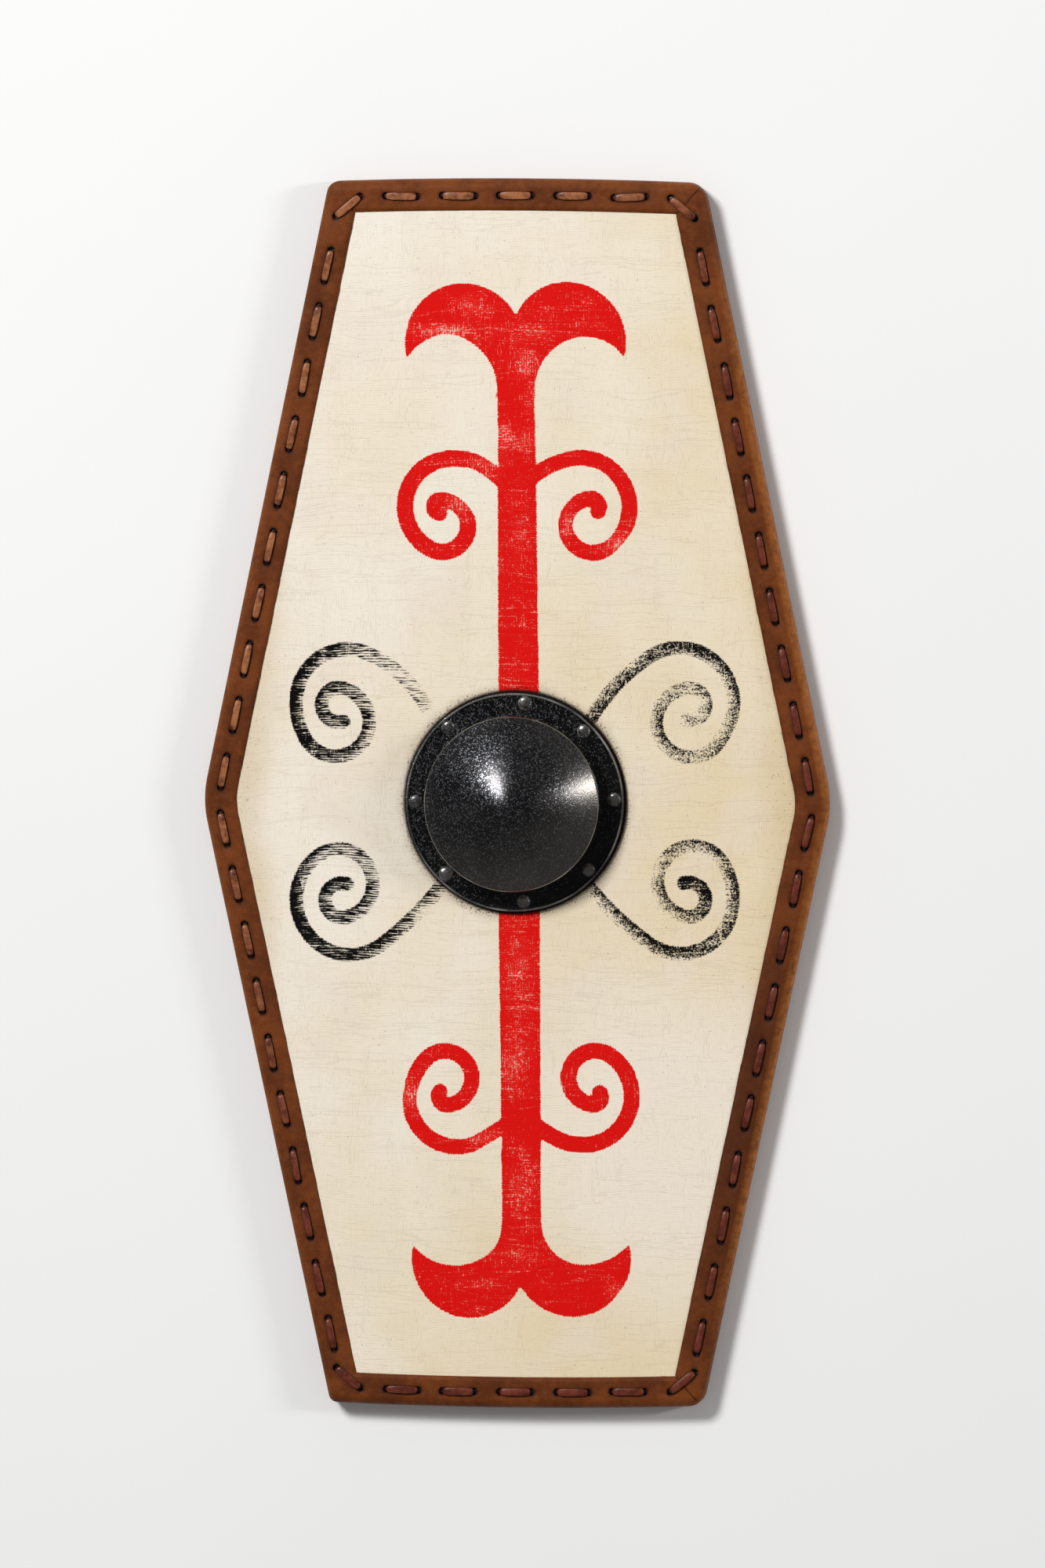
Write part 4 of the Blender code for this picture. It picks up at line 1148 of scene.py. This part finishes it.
def linen_face(material):
    """The cloth on the board's front, its edges turned down under the leather and the boss."""
    insets = SIDE_RIM_WIDTH - FACING_TUCK, END_RIM_WIDTH - FACING_TUCK
    corners = np.array([inset_corner(corner, *insets) for corner in (BOTTOM_RIGHT, RIGHT, TOP_RIGHT)])
    heights = np.linspace(corners[0, 1], corners[2, 1], FACING_ROWS)
    reach = np.interp(heights, corners[:, 1], corners[:, 0])
    x = np.outer(reach, np.linspace(-1.0, 1.0, FACING_COLUMNS)).ravel()
    x, y = bowed(np.column_stack([x, np.repeat(heights, FACING_COLUMNS)])).T
    from_middle = np.hypot(x, y - BOSS_Y)
    faces = np.array(grid_faces(FACING_ROWS, FACING_COLUMNS))
    faces = faces[(from_middle[faces] > HAND_HOLE_RADIUS).any(axis=1)]
    # Points left inside the hole are pushed out to its rim
    grow = np.maximum(1.0, HAND_HOLE_RADIUS / np.maximum(from_middle, 1e-6))
    x, y = x * grow, BOSS_Y + (y - BOSS_Y) * grow
    mesh = mesh_from("linen_face", np.column_stack([x, y, np.full(len(x), FACING_FRONT)]), faces.tolist())
    set_numbers(mesh, from_leather_mm=1000 * inset_distance(x, y, SIDE_RIM_WIDTH, END_RIM_WIDTH),
                from_boss_mm=1000 * (np.hypot(x, y - BOSS_Y) - LIP_RADIUS), **painted(1000 * x, 1000 * y))
    bm = bmesh.new()
    bm.from_mesh(mesh)
    bmesh.ops.delete(bm, geom=[v for v in bm.verts if not v.link_faces], context="VERTS")
    turned_down = bmesh.ops.extrude_edge_only(bm, edges=[e for e in bm.edges if e.is_boundary])
    for part in turned_down["geom"]:
        if isinstance(part, bmesh.types.BMVert):
            part.co.z = FACING_BACK
    bmesh.ops.recalc_face_normals(bm, faces=bm.faces)
    bm.to_mesh(mesh)
    bm.free()
    make_piece("linen_face", mesh, material, "linen_facing", 30)


# Boss, rivets and nails

BOSS_SIDES = 224
# Rounding of the dome's edge: share of the dome's radius, how far down, how rubbed
DOME_EDGE = ((0.990, 0.0004, 0.8), (0.997, 0.0010, 1.0), (1.0, 0.0017, 0.4))
# Where the neck starts under the dome and ends on the plate: how far out from it, and how far down or up
NECK_TOP = ((0.0018, 0.0014), (0.0006, 0.0028), (0.0, 0.006))
NECK_FOOT = ((0.0, 0.0030), (0.0006, 0.0012), (0.0022, 0.0002), (0.0050, 0.0))
# The flange's raised lip: how far in from its rim, share of its height, how rubbed
LIP = ((0.0060, 0.0, 0.0), (0.0030, 0.0, 0.0), (0.0023, 0.3, 0.0), (0.0017, 0.85, 0.5),
       (0.0010, 1.0, 0.9), (0.0004, 0.6, 0.1), (0.0001, -0.6, 0.0))
# How far a moulding is out of true, as a share of its radius
OUT_OF_TRUE = 0.0022


def dome_height(share):
    """Height of the dome's outside, which falls from a soft point ever more steeply to its edge."""
    return DOME_EDGE_HEIGHT + DOME_RISE * (1.0 - share ** DOME_FULLNESS)


def boss_section():
    """(radius, height, how rubbed) from the crown, down the outside and back up the inside."""
    last = 0.982
    edge = dome_height(last)
    under = edge - DOME_EDGE_THICKNESS
    bore = NECK_RADIUS - BOSS_WALL
    rows = [(share * DOME_RADIUS, dome_height(share), 0.0)
            for share in (*np.linspace(0.0, 0.94, 42), 0.956, 0.970, last)]
    rows += [(share * DOME_RADIUS, edge - drop, rub) for share, drop, rub in DOME_EDGE]
    rows += [(0.998 * DOME_RADIUS, under + 0.0003, 0.1), (0.990 * DOME_RADIUS, under - 0.0004, 0.0)]
    rows += [(NECK_RADIUS + out, under - drop, 0.0) for out, drop in NECK_TOP]
    rows += [(NECK_RADIUS + out, PLATE_THICKNESS + rise, 0.0) for out, rise in NECK_FOOT]
    rows += [(LIP_RADIUS - inset, PLATE_THICKNESS + share * LIP_HEIGHT, rub) for inset, share, rub in LIP]
    rows += [(radius, height, 0.0) for radius, height in (
        (LIP_RADIUS - 0.0002, 0.0012), (LIP_RADIUS - 0.0006, 0.0), (bore + 0.0006, 0.0), (bore, 0.0008),
        (bore, 0.5 * DOME_EDGE_HEIGHT), (0.90 * DOME_RADIUS, under - BOSS_WALL))]
    rows += [(share * DOME_RADIUS, dome_height(share) - BOSS_WALL, 0.0)
             for share in np.linspace(0.84, 0.0, 16)]
    return rows


def turned(name, section, sides, seed):
    """A section turned about its upright axis, slightly out of true as a moulding is."""
    points, rubbed = [], []
    for radius, height, rub in section:
        for a in around(sides):
            c, s = math.cos(a), math.sin(a)
            swell = 1 + OUT_OF_TRUE * noise.noise(Vector((2.1 * c, 2.1 * s, 40 * height + seed)))
            patchy = noise.noise(Vector((3.3 * c + 5, 3.3 * s, 60 * height + seed)))
            points.append((radius * swell * c, radius * swell * s, height))
            rubbed.append(min(1.0, max(0.0, rub * (0.75 + 0.9 * patchy))))
    mesh = mesh_from(name, points, grid_faces(len(section), sides, around_columns=True))
    set_numbers(mesh, rubbed=rubbed)
    return weld(mesh)


def boss(material):
    mesh = turned("boss_shell", boss_section(), BOSS_SIDES, 0)
    mesh.transform(Matrix.Translation((0.0, BOSS_Y, FLANGE_BACK)))
    make_piece("boss_shell", mesh, material, "boss", 50)


def round_head(radius, height):
    """Section of a low round head with a small flat foot."""
    rows = [(0.93 * radius * math.sin(a), height * (0.35 + 0.65 * math.cos(a)), 0.40)
            for a in np.linspace(0.0, math.pi / 2, 9)]
    return rows + [(0.97 * radius, 0.33 * height, 0.7), (radius, 0.2 * height, 0.8), (radius, 0.0, 0.1),
                   (0.0, 0.0, 0.0)]


def rivets(material):
    """Rivets round the flange, each a little off in size and tilt."""
    for i, angle_deg in enumerate(RIVET_ANGLES_DEG, start=1):
        a = math.radians(angle_deg)
        name = f"rivet_head_{i}"
        mesh = turned(name, round_head(RIVET_RADIUS * (1 + 0.03 * math.sin(2.3 * i)), RIVET_HEIGHT), 40, i)
        place = Vector((RIVET_CIRCLE_RADIUS * math.cos(a), BOSS_Y + RIVET_CIRCLE_RADIUS * math.sin(a),
                        FLANGE_BACK + PLATE_THICKNESS))
        tilt = Matrix.Rotation(math.radians(2.0) * math.sin(1.9 * i), 4, "X")
        mesh.transform(Matrix.Translation(place) @ tilt)
        make_piece(name, mesh, material, f"boss_rivet_{i}", 50)


def nails(material):
    for side, x in (("left", -NAIL_X), ("right", NAIL_X)):
        mesh = turned("nail_head_" + side, round_head(NAIL_RADIUS, NAIL_HEIGHT), 32, 3)
        mesh.transform(Matrix.Translation((x, BOSS_Y, BOARD_BACK)) @ Matrix.Rotation(math.pi, 4, "X"))
        make_piece("nail_head_" + side, mesh, material, "grip_nail_" + side, 50)


# Grip

GRIP_SIDES = 64
WAIST_LOW = WRAP_THICKNESS + 2 * GAP
GRIP_SHOULDER_END = math.sqrt(HAND_HOLE_RADIUS ** 2 - (GRIP_END_WIDTH / 2) ** 2) - 0.002
GRIP_WAIST_END = GRIP_SHOULDER_END - GRIP_SHOULDER_LENGTH
# The softened edge of the grip's ends: how far it reaches in and how deep it is
END_SOFTENING = 0.0014
END_SOFTENING_DEPTH = 0.0008
# The winding: share of a turn over which the strip's edge steps down, and where its ends thin out
LAP = 0.10
WINDING_END = 0.0012


def grip_ring(x, grow=0.0):
    """Section of the grip at x, from an oval waist to squarer ends flush with the board's back."""
    share = min(max((abs(x) - GRIP_WAIST_END) / GRIP_SHOULDER_LENGTH, 0.0), 1.0)
    ease = share * share * (3 - 2 * share)
    half_width = (GRIP_WAIST_WIDTH + (GRIP_END_WIDTH - GRIP_WAIST_WIDTH) * ease) / 2
    low = WAIST_LOW * (1 - ease)
    high = WAIST_LOW + GRIP_WAIST_HEIGHT
    high += (GRIP_END_THICKNESS - high) * ease
    squareness = 0.82 - 0.55 * ease
    ring = []
    for a in around(GRIP_SIDES):
        y = squared(math.cos(a), squareness) * (half_width + grow)
        z = squared(math.sin(a), squareness) * ((high - low) / 2 + grow)
        ring.append((x, BOSS_Y + y, BOARD_BACK + (high + low) / 2 + z))
    return ring


def grip(material):
    half = GRIP_LENGTH / 2
    edges = (0.0, 0.0005, END_SOFTENING)
    stations = [-half + e for e in edges] + list(np.linspace(0.004 - half, half - 0.004, 90))
    stations += [half - e for e in reversed(edges)]
    rings = [grip_ring(x, -END_SOFTENING_DEPTH * max(0.0, 1 - (half - abs(x)) / END_SOFTENING) ** 2)
             for x in stations]
    make_piece("grip_bar", tube_mesh("grip_bar", rings), material, "grip", 45)


def grip_winding(material):
    """A strip wound round the grip's waist, each turn lapping the last."""
    half = WRAP_LENGTH / 2
    rings, crowns = [], []
    for x in np.linspace(-half, half, 220):
        middle = np.mean(grip_ring(x), axis=0)
        end = max(0.0, 1 - (half - abs(x)) / WINDING_END)
        ring = []
        for k, point in enumerate(grip_ring(x)):
            step = ((x + half) / WRAP_TURN + k / GRIP_SIDES) % 1.0
            lap = min(step / (1 - LAP), (1 - step) / LAP)
            outward = np.array(point) - middle
            thickness = WRAP_THICKNESS * (0.65 + 0.35 * lap - 0.4 * end)
            ring.append(middle + outward * (1 + thickness / np.linalg.norm(outward)))
            crowns.append(max(0.0, lap - 0.75) * 2)
        rings.append(ring)
    mesh = tube_mesh("grip_winding", rings)
    set_numbers(mesh, crown=crowns)
    make_piece("grip_winding", mesh, material, "grip_wrap", 50)


# Studio

FLOOR_HALF_WIDTH = 6.0
FLOOR_DROP = 0.0002
ROOM_LIGHT = 0.22
LIGHT_DISTANCE = 8.0
# For each softbox, its direction from the shield, its width and height, and its power in watts
SOFTBOXES = {
    "key_softbox": ((-0.42, 0.50, 0.76), (2.0, 1.6), 535),
    "side_softbox": ((0.85, 0.17, 0.46), (0.7, 1.7), 150),
}
LENS_MM = 565.8
CAMERA_REACH = 50.0
CAMERA_DISTANCE = 20.0
CAMERA_TURN_DEG = 7.0
CAMERA_RISE_DEG = 4.0
CAMERA_TARGET = (0.0057, 0.0087, FACING_FRONT)


def softbox(name, toward, size, power):
    """A rectangular soft light that stands off the shield in this direction and faces it."""
    light = bpy.data.lights.new(name, "AREA")
    light.shape = "RECTANGLE"
    light.size, light.size_y = size
    light.energy = power
    lamp = place_in_scene(name, light)
    lamp.location = Vector(toward).normalized() * LIGHT_DISTANCE
    lamp.rotation_euler = (-lamp.location).to_track_quat("-Z", "Y").to_euler()


def studio():
    """White paper floor, an even white room and two softboxes."""
    bm = bmesh.new()
    bmesh.ops.create_grid(bm, x_segments=4, y_segments=4, size=FLOOR_HALF_WIDTH)
    mesh = bpy.data.meshes.new("floor")
    bm.to_mesh(mesh)
    bm.free()
    mesh.materials.append(studio_paper())
    floor = place_in_scene("floor", mesh)
    floor.location.z = -FLOOR_DROP
    room = bpy.data.worlds.new("room")
    room.use_nodes = True
    light = room.node_tree.nodes["Background"].inputs
    light["Color"].default_value = linear("#FFFFFF")
    light["Strength"].default_value = ROOM_LIGHT
    bpy.context.scene.world = room
    for name, settings in SOFTBOXES.items():
        softbox(name, *settings)


def camera():
    """A very long lens high above the shield, a little to its right and towards its top."""
    lens = bpy.data.cameras.new("camera")
    lens.lens = LENS_MM
    lens.clip_end = CAMERA_REACH
    turn, rise = math.radians(CAMERA_TURN_DEG), math.radians(CAMERA_RISE_DEG)
    toward = Vector((math.sin(turn) * math.cos(rise), math.sin(rise), math.cos(turn) * math.cos(rise)))
    right = Vector((0.0, 1.0, 0.0)).cross(toward).normalized()
    view = place_in_scene("camera", lens)
    view.location = Vector(CAMERA_TARGET) + toward * CAMERA_DISTANCE
    view.rotation_euler = Matrix((right, toward.cross(right), toward)).transposed().to_euler()
    bpy.context.scene.camera = view
    bpy.context.scene.view_settings.view_transform = "Standard"


def build():
    camera()
    studio()
    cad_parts["board"].data.materials.clear()
    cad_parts["board"].data.materials.append(latexed_foam())
    linen_face(brushed_linen())
    hide, latigo = oiled_cowhide(), waxed_latigo()
    for side in STRIPS:
        leather_strip(side, hide)
        thong(side, latigo)
    graphite = graphite_flake()
    boss(graphite)
    rivets(graphite)
    nails(dull_steel())
    grip(oiled_ash())
    grip_winding(handled_calf())


build()
